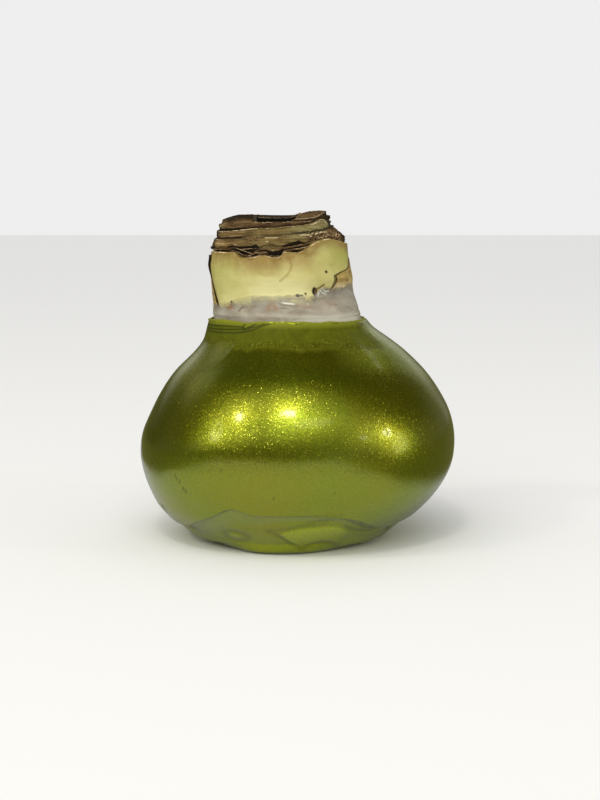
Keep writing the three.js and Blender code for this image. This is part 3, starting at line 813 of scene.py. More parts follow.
SMEAR_HIGH = [(0.7, 0.4, [274.7, 14.3], [282, 14.6], [289, 13.9])]
PITS = [
    (1.0, (203.2, 11.6), (1.1, 1.1)), (1.0, (212.5, 5.2), (3.0, 1.0)),
    (1.0, (330.4, 5.0), (1.8, 0.9)),
]
SKIN_MARKS = [
    (1.0, 0.4, [222.8, 24.4], [223.8, 23.0], [225.3, 22.4]),
    (1.0, 0.45, [226.2, 20.8], [227.6, 19.6], [229.6, 19.8]),
    (1.0, 0.35, [262, 20.6], [262.4, 20.2]), (1.0, 0.3, [283, 22.0], [283.4, 21.7]),
    (1.0, 0.45, [239.1, 39.9], [239.3, 39.6]), (1.0, 0.5, [302.7, 37.9], [302.9, 37.6]),
    (1.0, 0.3, [243.5, 28.0], [243.8, 27.5]),
]
RIM_CREASES = [
    (1.0, 0.34, [184, 66.6], [203, 66.7], [219, 66.9], [236, 66.95], [239.5, 66.2]),
    (1.0, 0.30, [236.5, 66.9], [238.5, 67.6], [243, 68.3], [252, 68.8]),
    (1.0, 0.30, [240, 66.6], [244, 67.3], [248, 68.0], [254, 68.8]),
    (1.0, 0.32, [192, 65.6], [212, 65.8], [226, 66.0], [238, 66.4], [248, 67.2], [258, 68.7]),
    (1.0, 0.30, [194, 64.8], [212, 64.9], [230, 65.1], [239, 65.6], [246, 66.4], [252, 67.3],
     [262, 68.6]),
    (1.0, 0.40, [238, 65.9], [237.4, 67.0]),
    (1.0, 0.30, [276, 68.1], [283, 68.35], [290, 68.5], [296, 68.7]),
    (1.0, 0.26, [300, 68.3], [306, 67.9], [313, 68.0]),
]
# Painted highlights: small bright flecks on the front of the rim, by bearing and height over its
# top.
RIM_PAINTED_HIGHLIGHTS = [
    (0.7, 0.24, [258.0, -0.20], [260.2, -0.12]), (0.7, 0.21, [263.0, -0.42], [263.4, -0.40]),
    (0.7, 0.21, [266.4, -0.12], [268.0, -0.10]),
    (0.7, 0.21, [271.0, -0.22], [273.0, -0.50], [275.4, -0.48]),
    (0.7, 0.21, [278.0, -0.5], [278.6, -0.5]),
]
SHOULDER_RIDGE = [[233, 63.2], [227, 58.5], [218, 53.0], [213, 49]]
# The part of the rim that stands out a little, at its left.
RIM_LIP = [[186, 0], [203, 0]]
# The rounded rim: inset from the outer face, and drop under its top.
RIM_PROFILE = (
    (0.0, 0.42), (0.05, 0.24), (0.14, 0.10), (0.3, 0.01), (0.5, 0.0), (0.68, 0.08), (WAX_RIM, 0.35))
# Share of the step's depth by the share of the crease's height.
STEP_PROFILE = [
    [0.0, 0.06], [0.22, 0.2], [0.55, 0.5], [0.93, 1.0], [0.985, 0.86], [1.02, 0.1], [1.06, 0.0],
    [1.2, 0.0],
]


def crease_depth(bearing):
    """Depth of the step in the wax over the foot; it fades round the back."""
    return CREASE_DEPTH * smooth(-np.sin(np.radians(bearing)), -0.3, 0.4)


def foot_relief(b, z, front):
    """Relief of the foot's folds, their painted groove shade, their painted light and where no
    reflection is painted.
    """
    ring = spot(b, z, *DENT, 36)
    dent, boss = np.exp(-((ring - 1.05) / 0.42) ** 2), np.exp(-(ring / 0.55) ** 2)
    relief = 0.10 * np.exp(-(ring / 0.5) ** 2) - 0.20 * np.exp(-((ring - 1.0) / 0.42) ** 2)
    low, high = along(FACET_LOW, b), along(FACET_HIGH, b)
    facet_and_painted_light = smooth(z, low - 0.3, low + 0.6) * (1 - smooth(z, high - 0.7, high + 0.3))
    facet_and_painted_light = facet_and_painted_light * smooth(b, 263, 268) * (1 - smooth(b, 293, 303))
    facet_edge = strokes(b, z, FACET_EDGE, 34) * front
    corner = strokes(b, z, CORNER_CREASES, 34)
    smear = np.maximum(strokes(b, z, SMEAR_LOW, 36), strokes(b, z, SMEAR_HIGH, 38))
    pits = spots(b, z, PITS, radius=38)
    relief = relief + 0.22 * facet_and_painted_light - 0.12 * facet_edge - 0.12 * corner - 0.08 * smear - 0.5 * pits
    groove_shade = 0.4 * dent + 0.36 * facet_edge + 0.42 * corner + 0.35 * smear + 0.8 * pits
    # Painted light: the lowest wax, more on the right, is lightened against the table's shade it
    # mirrors.
    right = smooth(b, 272, 284) * (1 - smooth(b, 312, 325))
    light = (1 - smooth(z, 2.0, 9.0)) * (0.55 + 0.35 * right)
    # The facet and the dent's raised middle get painted light as well.
    return relief, groove_shade, np.maximum(0.8 * facet_and_painted_light + 0.6 * boss, light), (1 - facet_and_painted_light) * (1 - boss)


def crease_relief(b, z, front):
    """The proud skin over the crease, the shallow cove under it, the painted shade along it and a
    painted reflection under it.
    """
    over = z - edge(CREASE, b)
    relief = 0.10 * np.exp(-((over - 0.9) / 0.8) ** 2) - 0.18 * np.exp(-((over + 1.9) / 1.0) ** 2)
    groove_shade = 0.5 * np.exp(-((over + 0.1) / 0.45) ** 2)
    # Painted reflection: a pale grey band on the wax under the crease, fading out downwards.
    fade_start = mix(1.2, 3.8, np.exp(-(turn(b, 236) / 22) ** 2))
    fade_end = mix(2.2, 6.0, np.exp(-(turn(b, 240) / 24) ** 2))
    painted_reflection = smooth(-over, 0.1, 0.5) * (1 - smooth(-over, fade_start, fade_end))
    painted_reflection = painted_reflection * smooth(b, 208, 222) * (1 - smooth(b, 294, 306))
    return relief * front, groove_shade * front, painted_reflection


def thin_edge(b, z):
    """How thin the wax is towards its rim, 0 to 1. At the right this reaches further down."""
    right = smooth(b, 284, 305) * (1 - smooth(b, 345, 358))
    level = z + wavy(b, 31, 7, 0.6) + ripple(b, z, 32, 4.0, 0.25, radius=28)
    thin = smooth(level, mix(60.2, 58.0, right), mix(63.8, 63.4, right))
    hazy = smooth(turn(b, 345), -24, -8) * (1 - smooth(turn(b, 345), 30, 60))
    return np.maximum(thin, 0.25 * right * smooth(level, 53, 59)) * (1 - hazy)


def coat_relief(b, z):
    """How far the coat's outside stands out of its outline, in mm, and its colour marks."""
    front = smooth(-np.sin(np.radians(b)), 0.0, 0.35)
    foot, foot_groove_shade, facet_and_painted_light, clear = foot_relief(b, z, front)
    step, step_groove_shade, painted_reflection = crease_relief(b, z, front)
    marks, creases = strokes(b, z, SKIN_MARKS, 44), strokes(b, z, RIM_CREASES, 24)
    soft = ripple(b, z, 11, 30, 0.05, radius=45) + ripple(b, z, 12, 9, 0.012, radius=45)
    lumps = ripple(b, z, 14, 2.6, 0.045, radius=26) * smooth(z, 61.5, 66)
    lumps = lumps * (0.15 + 0.6 * smooth(b, 280, 300) * (1 - smooth(b, 335, 352)))
    ridge = 0.10 * stroke(b, z, SHOULDER_RIDGE, 1.3, 32)
    relief = soft + foot + step + lumps + ridge - 0.12 * marks - 0.05 * creases
    # Painted shade in the foot's grooves and pits, along the crease, in the skin marks and the rim
    # creases.
    groove_shade = foot_groove_shade + step_groove_shade + 0.8 * marks + 0.9 * creases
    return relief, {"facet_and_painted_light": np.clip(facet_and_painted_light, 0, 1), "thin": np.clip(thin_edge(b, z), 0, 1),
                    "groove_shade": np.clip(groove_shade, 0, 1), "painted_reflection": painted_reflection * clear}


def rim_painted_highlights(b, over):
    """Painted highlights: small bright flecks along the front of the rim; over is the height over
    its top.
    """
    return strokes(b, over, RIM_PAINTED_HIGHLIGHTS, 30)


def wax_coat():
    """Green wax skin: flat foot, stepped crease, body, rounded rim and the wall inside."""
    b = bearings(360, 150)[None, :]
    crease, share = edge(CREASE, b), edge(FOOT_SHARE, b)
    top = RIM_HEIGHT + edge(COAT_RIM, b) + wavy(b, 21, 16, 0.05) + wavy(b, 22, 50, 0.03)
    foot_z, foot_x, foot_half_width, _ = COAT_OUTLINE[0]
    rings = Rings(b, COAT_MARKS)

    def put_skin(z, inset=0.0):
        relief, found = coat_relief(b, z)
        found["facet_and_painted_light"] = np.maximum(found["facet_and_painted_light"], rim_painted_highlights(b, z - top))
        rings.put(inside_coat(b, z, inset - relief), found)

    def flat(z, radius):
        points = on_outline(COAT_OUTLINE, b, foot_z, foot_half_width - radius * share)
        points[..., 2] = z
        return points

    for radius in (9.0, 18.0, 24.0, 26.6, 27.5):
        rings.put(flat(0.0, radius), {})
    low = 0.24 * crease
    shown = inside_coat(b, low, 0.2 * crease_depth(b) - coat_relief(b, low)[0])
    for s in np.linspace(0, 1, 12)[:-1]:
        start = mix(flat(0.0, 27.9), flat(0.5, 29.8), smooth(s, 0, 0.45))
        rings.put(mix(start, shown, smooth(s, 0.1, 1.0)), coat_relief(b, mix(0.5, low, s))[1])
    for s in np.concatenate([np.linspace(0.24, 0.9, 34), np.linspace(0.92, 1.08, 14)]):
        put_skin(s * crease, along(STEP_PROFILE, s) * crease_depth(b))
    for s in np.concatenate([np.linspace(0, 0.68, 38), np.linspace(0.7, 0.9, 18),
                             np.linspace(0.908, 1, 38)]):
        put_skin(mix(1.10 * crease, top - 0.6, s))
    lip = 0.35 * stroke(b, 0 * b, RIM_LIP, 2.5, 24)
    for depth, drop in RIM_PROFILE:
        points = on_outline(COAT_OUTLINE, b, RIM_HEIGHT, depth - lip)
        points[..., 2] = top - drop
        rings.put(points, {"thin": 1.0, "facet_and_painted_light": rim_painted_highlights(b, 0 * b - drop)})
    for z in (66.5, 64, 59, 53, 46, 37, 28, 20, 13, 7.5):
        wall = mix(WAX, WAX_RIM + 0.2, smooth(z, 55, 66))
        rings.put(inside_coat(b, z, wall), {})
    inner = on_outline(COAT_OUTLINE, b, foot_z, 2)
    inner[..., 2] = FOOT_FLOOR
    rings.put(inner, {})
    return rings.piece("green_wax_coat", green_wax, start=(foot_x, 0, 0),
                       end=(foot_x, 0, FOOT_FLOOR))


# ---------------------------------------------------------------- the pale wax under its rim
BAND_MARKS = ("milk_and_highlight", "rust", "dark", "cover")
BAND_RUST_SPOTS = [(0.95, (221.2, 72.7), (1.9, 0.9))]
BAND_RUST_CLOUDS = [(0.28, (286, 73.1), (2.6, 0.8)), (0.22, (308, 73.8), (2.2, 1.0))]
BAND_RUST_LINES = [
    (0.6, 0.75, [257.2, 72.2], [258.4, 73.3], [260.6, 73.8], [262.4, 73.5], [263.4, 72.4])]
BAND_DARK_SPOTS = [(1.0, (224.6, 74.1), (0.42, 0.4)), (1.0, (283.2, 76.2), (0.46, 0.4))]
BAND_DARK_LINES = [
    (0.7, 0.3, [224.8, 74.0], [223.8, 73.2]),
    (0.8, 0.34, [231.5, 71.4], [233.6, 72.1], [236.4, 72.7]),
    (0.5, 0.25, [234.6, 73.3], [238.4, 72.9]), (0.75, 0.26, [267.2, 72.55], [271, 72.45]),
    # Painted shadow under the torn white shreds.
    (0.28, 0.5, [287, 74.5], [291, 74.8], [298, 75.0], [306, 75.4]),
]
BAND_SHREDS = [
    (1.0, 0.4, [300.5, 75.9], [303, 77.0], [306, 78.5]),
    (1.0, 0.4, [303.5, 77.6], [305.5, 76.9], [309, 76.4]),
    (1.0, 0.4, [301, 76.4], [302.4, 78.0]),
    (1.0, 0.4, [306.5, 78.2], [308.5, 77.2], [312.5, 77.3]),
]
BAND_WHITE_SPOTS = [(1.0, (289, 73.65), (0.35, 0.3))]
BAND_SHREDS_AND_HIGHLIGHTS = BAND_SHREDS + [
    # The rows below are painted highlights on the film near its top.
    (0.8, 0.4, [236.5, 76.3], [239, 76.4], [242, 75.9]),
    (0.5, 0.22, [250, 75.3], [255, 75.8], [259, 75.5]),
    (1.15, 0.34, [270, 74.15], [272.5, 73.95], [278, 73.75]),
]
BAND_FOLD = [[252, 74.9], [258, 75.2], [264, 75.0], [270, 74.3]]
BAND_GLEAM = [[269, 74.0], [274, 73.85], [279, 73.7]]
BAND_GLEAM_COVER = [[268, 74.1], [280, 73.8]]


def right_swell(b, z):
    """The old scale stands off the neck a little on the right side."""
    side = smooth(turn(b, -42), 0, 26) * (1 - smooth(turn(b, 0), 40, 80))
    return 0.85 * side * np.exp(-((z - 77.0) / 2.7) ** 2)


def band_marks(b, z, top):
    """Colour marks of the pale wax, with painted highlights and a painted shadow, and how much it
    covers: it thins out towards its top.
    """
    rust = np.maximum(spots(b, z, BAND_RUST_SPOTS, 4), spots(b, z, BAND_RUST_CLOUDS))
    rust = np.maximum(rust, strokes(b, z, BAND_RUST_LINES))
    dark = np.maximum(spots(b, z, BAND_DARK_SPOTS, 4), strokes(b, z, BAND_DARK_LINES))
    white_and_highlight = np.maximum(spots(b, z, BAND_WHITE_SPOTS, 4), strokes(b, z, BAND_SHREDS_AND_HIGHLIGHTS))
    milk_and_highlight = 0.8 * smooth(b, 262, 292) * (1 - smooth(z, 69.6, 71.0)) + 0.25 * smooth(b, 312, 335)
    milk_and_highlight = milk_and_highlight + 0.3 * smooth(z, 72.6, 73.8) * (1 - smooth(b, 286, 296))
    milk_and_highlight = (milk_and_highlight + 0.4 * smooth(-b, -222, -210)) * smooth(np.abs(turn(b, 0)), 0, 24)
    fade = mix(3.1 + 1.6 * smooth(b, 228, 240) * (1 - smooth(b, 285, 294)), 1.4,
               smooth(b, 294, 304) * (1 - smooth(b, 316, 340)))
    film = mix(0.16, 1.0, smooth(top - z + wavy(b, 43, 20, 0.12), 0.1, fade))
    film = np.maximum(film, 0.8 * stroke(b, z, BAND_GLEAM_COVER, 0.8))
    return {"milk_and_highlight": np.clip(milk_and_highlight + white_and_highlight, 0, 1.6), "rust": rust, "dark": 0.85 * dark,
            "cover": np.clip(np.maximum(film, 0.9 * white_and_highlight), 0, 1)}


def band_relief(b, z):
    """How far the pale wax stands out of the neck: a film with folds, a gleam and torn shreds."""
    thick = mix(0.9, 0.12, smooth(z, 67, 75.5))
    shown = smooth(z, 68.6, 69.8)
    fold = ripple(b, z, 44, 3.0, 0.035, stretch=5.0) + ripple(b, z, 45, 6.0, 0.08, stretch=3.0)
    fold = fold * mix(1.0, 0.25, smooth(z, 72.5, 76))
    swell = 0.20 * np.exp(-((z - 69.9) / 0.8) ** 2) * shown
    line = 0.14 * stroke(b, z, BAND_FOLD, 0.7) + 0.36 * stroke(b, z, BAND_GLEAM, 0.9)
    torn = 0.22 * strokes(b, z, BAND_SHREDS)
    return np.maximum(thick + shown * (fold + swell + line + torn), 0.06) + right_swell(b, z)


def wax_band():
    """The pale wax from inside the coat's rim up the neck, and its face on the bulb."""
    b = bearings(380, 150)[None, :]
    top = edge(BAND_EDGE, b) + wavy(b, 41, 13, 0.12) + wavy(b, 42, 34, 0.12)
    rings = Rings(b, BAND_MARKS)

    def put(z, out):
        rings.put(on_outline(NECK_OUTLINE, b, z, -out), band_marks(b, z, top))

    for s in np.linspace(0, 1, 64):
        z = mix(BAND_FOOT, top, s)
        put(z, band_relief(b, z))
    for s, out in ((1.0, 0.02), (0.8, 0.02), (0.6, 0.02), (0.3, 0.02), (0.0, GAP)):
        z = mix(BAND_FOOT, top, s) - (0.1 if s == 1 else 0)
        put(z, out + right_swell(b, z))
    return rings.piece("pale_wax_band", pale_wax, loop=True)


# ---------------------------------------------------------------- the bulb and its neck
BULB_MARKS = ("stain", "dark", "pale", "green", "worn", "below")
STAIN_LINES = [
    (0.30, 1.2, [245, 87.2], [247, 85.6], [250.4, 84.0], [255, 82.9], [259, 82.6], [264, 82.9]),
    (0.48, 0.58, [273, 88.3], [277.5, 87.3], [280, 85.2], [278.5, 83.8], [276, 82.6],
     [269.6, 80.6]),
    (1.0, 0.5, [301.4, 78.1], [304.6, 78.8], [307.4, 79.3]),
]
STAIN_SPOTS = [
    (0.75, (277.6, 87.4), (1.2, 0.8)), (0.4, (275, 87.9), (1.6, 0.5)),
    (0.8, (270.4, 87.2), (0.8, 0.6)), (0.5, (265, 87.3), (2.6, 0.3)),
    (0.4, (240, 87.2), (3.2, 0.4)), (0.4, (246, 86.7), (1.4, 0.8)),
    (0.5, (256, 85.2), (4.6, 2.0)), (0.12, (264.6, 82.8), (2.2, 1.2)),
    (0.3, (297, 88.6), (3.2, 1.0)), (0.35, (304, 90.8), (1.2, 0.5)),
    (0.16, (294, 85.0), (5.0, 2.6)), (0.35, (201, 81.8), (0.7, 2.2)),
    (0.4, (317, 85.2), (0.5, 0.4)), (0.4, (335, 90.9), (2.6, 0.9)),
]
SCAR_STAIN = [(1.2, (299.2, 77.3), (0.75, 1.1))]
NECK_DARK_LINES = [
    (0.85, 0.7, [298.2, 78.2], [297.7, 77.4], [298.2, 76.6]),
    (0.7, 0.42, [298.4, 78.3], [300.0, 78.1], [301.0, 77.2], [300.0, 76.4]),
    (0.35, 0.34, [301.6, 78.0], [304.8, 78.7], [307.6, 79.2]),
]
NECK_DARK_SPOTS = [
    (1.0, (309.6, 83.1), (0.5, 0.42)), (1.0, (283.8, 76.2), (0.5, 0.42)),
    (1.0, (290.6, 76.7), (0.34, 0.32)), (1.0, (286.6, 76.2), (0.5, 0.2)),
]
# The rounded cut lip of the wall: drop under the cut, inset, and share of its lean outwards.
LIP_PROFILE = (
    (0.35, 0.0, 0), (0.12, 0.05, 1), (0.0, 0.16, 1), (-0.04, 0.34, 0), (0.05, 0.55, 0))
# The middle of the pocket, seen from above.
MIDDLE_X = -4.6
# Distance along the neck's outside for one degree of bearing.
MM_PER_DEGREE = 0.36


def cover(b, z, blend=3.5):
    """Share, 0 to 1, of the old back scale's cover at a point of the neck."""
    b = np.where(b > 270, b - 360, b)
    right = b - (along(MARGIN_RIGHT, z) - blend)
    left = along(MARGIN_LEFT, z) + blend - b
    above = z - edge(SCALE_BACK_TOP, b)
    under = 1 - smooth(above, SEAT_CLEAR, SEAT_FADE)
    return smooth(np.minimum(right, left), 0, blend * 0.6) * under


def cut_line(rows, b, seed, fray=0.0):
    """Height of a scale's cut edge with its fine unevenness; a share of fray makes it rougher."""
    return (edge(rows, b) + wavy(b, seed, 24, 0.05 + 0.08 * fray)
            + wavy(b, seed + 1, 75, 0.04 + 0.18 * fray))


def neck_cut(b):
    """Height of the cut of the bulb's own wall."""
    return cut_line(NECK_CUT, b, 51)


def neck_marks(b, z, below):
    """Colour marks of the bulb's pale wall; below is the distance under its cut."""
    right = np.where(b > 180, b, b + 360)
    past_right = np.exp(-((right - 360 - along(MARGIN_RIGHT, z) + 1.5) / 1.6) ** 2)
    past_left = np.exp(-((b - along(MARGIN_LEFT, z) - 2.5) / 4.0) ** 2)
    stain = np.maximum(strokes(b, z, STAIN_LINES), spots(b, z, STAIN_SPOTS))
    stain = np.maximum(stain, spots(b, z, SCAR_STAIN, 4))
    stain = np.maximum(stain, 0.3 * past_right * smooth(z, 81.5, 82.5))
    stain = np.maximum(stain, 0.5 * past_left * smooth(z, 72, 75))
    dark = np.maximum(strokes(b, z, NECK_DARK_LINES), spots(b, z, NECK_DARK_SPOTS, 4))
    pale = 0.75 * smooth(b, 232, 258) * (1 - smooth(b, 285, 305)) * smooth(-z, -84, -77)
    green = 0.55 * smooth(b, 290, 325) * smooth(z, 78, 86)
    green = green + 0.4 * smooth(b, 306, 340) * smooth(z, 84, 89)
    green = green * (1 - smooth(b, 344, 360))
    green = green + 0.5 * smooth(-b, -250, -216) * smooth(z, 70, 80) * smooth(b, 0, 20)
    worn = 1 - smooth(below, 0.2, mix(6.5, 4.0, smooth(b, 296, 308) * (1 - smooth(b, 344, 360))))
    return {"stain": np.clip(stain, 0, 1), "dark": np.clip(1.3 * dark, 0, 1),
            "pale": np.clip(pale, 0, 1), "green": np.clip(green, 0, 1), "worn": worn ** 0.8,
            "below": below + 0.3 * (1 - edge(LIP_PALE, b))}


def bulb_body():
    """The bulb in the wax, the pale wall of its neck, and the pocket for the cut scales."""
    b = bearings(420, 150)[None, :]
    cut = neck_cut(b)
    rings = Rings(b, BULB_MARKS)

    def put(points, z, below=None):
        below = cut - z if below is None else below + 0 * b
        rings.put(points, neck_marks(b, z, below))

    def put_pocket(z, below, shade_z=None):
        shade_z = z if shade_z is None else shade_z
        put(on_outline(NECK_OUTLINE, b, z, pocket_inset(b)), shade_z, below)

    start = on_outline(COAT_OUTLINE, b, COAT_OUTLINE[0][0], 2.5)
    start[..., 2] = FOOT_FLOOR + GAP
    put(start, FOOT_FLOOR)
    for z in (7.5, 13, 20, 28, 37, 46, 53):
        put(inside_coat(b, z, WAX + GAP), z)
    for s in np.concatenate([np.linspace(0, 0.42, 8), np.linspace(0.45, 0.975, 84)]):
        z = mix(59.5, cut, s)
        relief = ripple(b, z, 53, 11, 0.09) + ripple(b, z, 54, 3.2, 0.018)
        relief = relief * smooth(z, 70, 76)
        put(on_outline(NECK_OUTLINE, b, z, SEAT_DEPTH * cover(b, z) - relief), z)
    lean = 0.12 * smooth(np.cos(np.radians(b - 265)), 0.6, 0.9)
    for drop, inset, share in LIP_PROFILE:
        z = cut - drop
        put(on_outline(NECK_OUTLINE, b, z, inset - share * lean), z, drop)
    put_pocket(cut + 0.1, 0.6, shade_z=cut)
    put_pocket(cut - 1.5, 1.5)
    put_pocket(83.5, 4.0)
    put_pocket(POCKET_FLOOR, 9.0)
    return rings.piece("bulb_and_outer_scale", bulb_flesh, end=(MIDDLE_X, 0, POCKET_FLOOR),
                       start=(COAT_OUTLINE[0][1], 0, FOOT_FLOOR + GAP))


def back_scale_dark(b, z, from_right, from_left):
    """The dark lines along both margins of the old scale, and its shade at the far right."""
    line = smooth(z, 77.9, 78.6) * (1 - smooth(z, 80.9, 81.5))
    line = line + 0.22 * smooth(z, 81.3, 81.8) * (1 - smooth(b, -24, -12))
    line = np.clip(line + 0.6 * smooth(b, -18, -12), 0, 1)
    right_line = 0.95 * (1 - smooth(from_right, 0.1, 0.34)) * line
    high = smooth(z, 76.5, 81)
    left_line = 1 - smooth(from_left, mix(0.3, 1.1, high), mix(0.55, 1.6, high))
    silhouette = 0.4 * np.exp(-(turn(b, 4) / 6) ** 2) * smooth(z, 79.5, 82)
    return np.clip(right_line + 0.95 * left_line * smooth(z, 70, 74) + silhouette, 0, 1)


def back_scale():
    """The old scale round the back: dry, with dark curled margins that show at the front."""
    u = np.linspace(0, 1, 200)[:, None]
    v = np.concatenate([np.linspace(0, 0.94, 84), [0.96, 0.98, 0.99, 1.0]])[None, :]
    guess_z = mix(SCALE_BACK_FOOT, 87, v)
    guess = mix(along(MARGIN_RIGHT, guess_z), along(MARGIN_LEFT, guess_z), u)
    top = edge(SCALE_BACK_TOP, guess) + wavy(guess, 61, 24, 0.14)
    z = mix(SCALE_BACK_FOOT, top, v)
    torn = 0.5 * wavy(z * 12, 62, 7, 0.35) + 0.4 * wavy(z * 12, 63, 22, 0.35)
    right, left = along(MARGIN_RIGHT, z) + torn, along(MARGIN_LEFT, z) + torn * 0.8
    b = mix(right, left, u)
    lift = CURL * smooth(b, 172, 188) * smooth(z, 80, 87) + right_swell(b, z)
    lift = lift + ripple(b, z, 64, 7, 0.06)
    from_right, from_left = (b - right) * MM_PER_DEGREE, (left - b) * MM_PER_DEGREE
    side = np.minimum(from_right, from_left)
    thick = mix(0.14, SCALE_BACK, smooth(np.minimum(side, (top - z)), 0, 2.2))
    marks = {"below": side * 0.9 + 0.2, "crust": 0 * b, "tan": 0 * b, "green": 0 * b,
             "cream": 0.6 * (1 - smooth(b, 25, 60)) * (1 - smooth(z, 78.2, 80.4)),
             "dark": back_scale_dark(b, z, from_right, from_left)}
    outer = on_outline(NECK_OUTLINE, b, z, -lift)
    inner = on_outline(NECK_OUTLINE, b, z, thick - lift)
    points, faces, marks = sheet(outer, inner, marks)
    return make_piece("old_scale_back", points, faces, old_scale, marks)


# ---------------------------------------------------------------- the cut scales in the neck
RING_MARKS = ("below", "green", "crust", "dark", "tan", "cream")
DEEP_SHADE = [
    [208, 89.4], [214, 90.3], [219.7, 90.9], [226.1, 90.7], [231.1, 90.7], [240.8, 90.9],
    [245.3, 91.05], [249.5, 91.4], [251.5, 91.0], [252.8, 90.5], [255.7, 90.9], [259, 91.2],
    [268.2, 91.35], [271, 91.05], [275, 91.0], [280.2, 91.35], [284.4, 91.8], [290.6, 92.3],
    [293.7, 92.55], [295.8, 92.25], [299.1, 91.85], [304, 91.75], [310, 91.6]]
TORN_LINES = [
    (0.6, 0.26, [236.5, 92.9], [238.2, 93.2], [239.2, 92.6], [240.8, 92.3]),
    (0.6, 0.26, [241.5, 92.8], [243.2, 92.4], [245.2, 92.5], [246.4, 92.1]),
    (0.6, 0.26, [247.2, 93.2], [248.2, 92.6], [250.2, 92.35]),
    (0.6, 0.26, [250.6, 93.5], [251, 92.5]), (0.6, 0.26, [255, 93.4], [258.5, 93.3]),
]
# Pale streaks on the outer fleshy scale, added up: share, width, then points.
PALE_STREAKS = [
    (0.4, 0.2, [196, 91.4], [212, 91.3]), (0.5, 0.25, [224, 91.2], [227, 91.1]),
    (0.6, 0.2, [260, 93.25], [266, 93.2], [272, 93.25]), (0.8, 0.2, [260.6, 92.1], [262.4, 92.1]),
    (0.8, 0.22, [296, 93.95], [303, 94.05], [308, 94.15]),
    (0.8, 0.22, [304, 93.5], [308, 93.65]), (0.6, 0.22, [311, 93.1], [314, 93.3], [317, 93.2]),
]


def frayed(b):
    """Share of rough, crusty tissue at a bearing: the right end of the cut."""
    return smooth(np.cos(np.radians(b - 334)), 0.82, 0.90)


def papery_cut(b):
    """Height of the inner papery scale's cut."""
    return cut_line(PAPERY_CUT, b, 101, frayed(b))


def fleshy_outer_cut(b):
    """Height of the outer fleshy scale's cut, with the spike at its right end."""
    spike = 1.7 * np.exp(-(turn(b, 352) / 3.2) ** 2)
    return cut_line(FLESHY_OUTER_CUT, b, 111, 0.4 * frayed(b)) + spike


def fleshy_inner_cut(b):
    """Height of the inner fleshy scale's cut."""
    return cut_line(FLESHY_INNER_CUT, b, 121)


def thin_brown_cut(b):
    """Height of the thin brown scale's cut."""
    return cut_line(THIN_BROWN_CUT, b, 141)


def side_shade(b):
    """1 at the far left and right of the neck, where the dry scales turn away from the light; it
    paints shade there.
    """
    return np.maximum(np.exp(-(turn(b, 180) / 15) ** 4), np.exp(-(turn(b, 0) / 14) ** 4))


def papery_marks(b, z, below, above):
    """Colour marks of the inner papery scale, by distance under its cut and over the next; its dark
    mark is mostly painted shade.
    """
    left, fray = smooth(-b, -222, -212), frayed(b)
    gap_shade = smooth(b, 212, 220) * (1 - smooth(b, 251, 256)) + smooth(b, 275, 280) * (1 - fray)
    dark = 0.93 * smooth(below, 0.05, 0.2) * gap_shade
    # Painted shade just above the cut of the scale round it.
    dark = np.maximum(dark, 0.85 * np.exp(-((above - 0.25) / 0.3) ** 2) * (1 - fray))
    dark = np.maximum(dark, 0.8 * side_shade(b))
    cream = 0.7 * stroke(b, z, [[214, 89.85], [221, 89.75]], 0.16) * left
    return {"green": 0.35 * smooth(b, 252, 258) * (1 - smooth(b, 272, 278)), "crust": fray,
            "dark": dark, "cream": cream,
            "tan": np.maximum(0.85 * left, 0.8 * smooth(b, 250, 258) * (1 - smooth(b, 274, 280)))}


def fleshy_outer_marks(b, z, below, above):
    """Colour marks of the outer fleshy scale; most of its dark mark is painted shade, under
    DEEP_SHADE and at the sides.
    """
    fray = frayed(b)
    seen = smooth(b, 209, 215) * (1 - smooth(b, 302, 308))
    middle = smooth(b, 251, 253) * (1 - smooth(b, 273, 277))
    deep = along(DEEP_SHADE, np.clip(b, 208, 310))
    shown = np.maximum(1 - middle, middle * (1 - smooth(deep - z, 0.25, 0.45)))
    dark = 0.95 * seen * (1 - smooth(z, deep - 0.25, deep + 0.05)) * shown
    dark = np.maximum(np.maximum(dark, 0.85 * side_shade(b)), strokes(b, z, TORN_LINES))
    torn = np.exp(-(turn(b, 244) / 10.5) ** 4) * np.exp(-((z - 92.95) / 0.62) ** 4)
    cream = sum(share * stroke(b, z, points, width) for share, width, *points in PALE_STREAKS)
    return {"green": 0.85 * np.exp(-spot(b, z, (293, 93.3), (3.2, 0.7)) ** 2),
            "crust": np.maximum(fray, 0.6 * torn), "dark": dark, "cream": np.clip(cream, 0, 1),
            "tan": np.maximum(0.8 * smooth(-b, -236, -222), 0.5 * torn)}


def fleshy_inner_marks(b, z, below, above):
    """Colour marks of the inner fleshy scale: darker and crusty at its right end, with painted
    shade above the cut round it and at the sides.
    """
    near = np.maximum(smooth(-b, -238, -230), smooth(b, 282, 298))
    beyond = turn(b, 335) - 8.0 * (98.8 - z)
    dark_right_end = smooth(beyond, -1.5, 2.5) * (1 - smooth(turn(b, 338), 60, 90))
    dark = 0.95 * np.exp(-((above - 0.45) / 0.30) ** 4) * mix(0.25, 1.0, near)
    dark = np.maximum(np.maximum(dark, 0.72 * dark_right_end), 0.75 * side_shade(b))
    cream = 0.8 * np.exp(-(beyond + 2.0) ** 2 / 1.5) * smooth(b, 320, 330) * smooth(z, 95.8, 96.6)
    return {"green": 0.1 + 0.9 * smooth(b, 276, 308), "crust": 0.35 * dark_right_end, "dark": dark,
            "cream": cream, "tan": 0.75 * smooth(-b, -244, -222)}


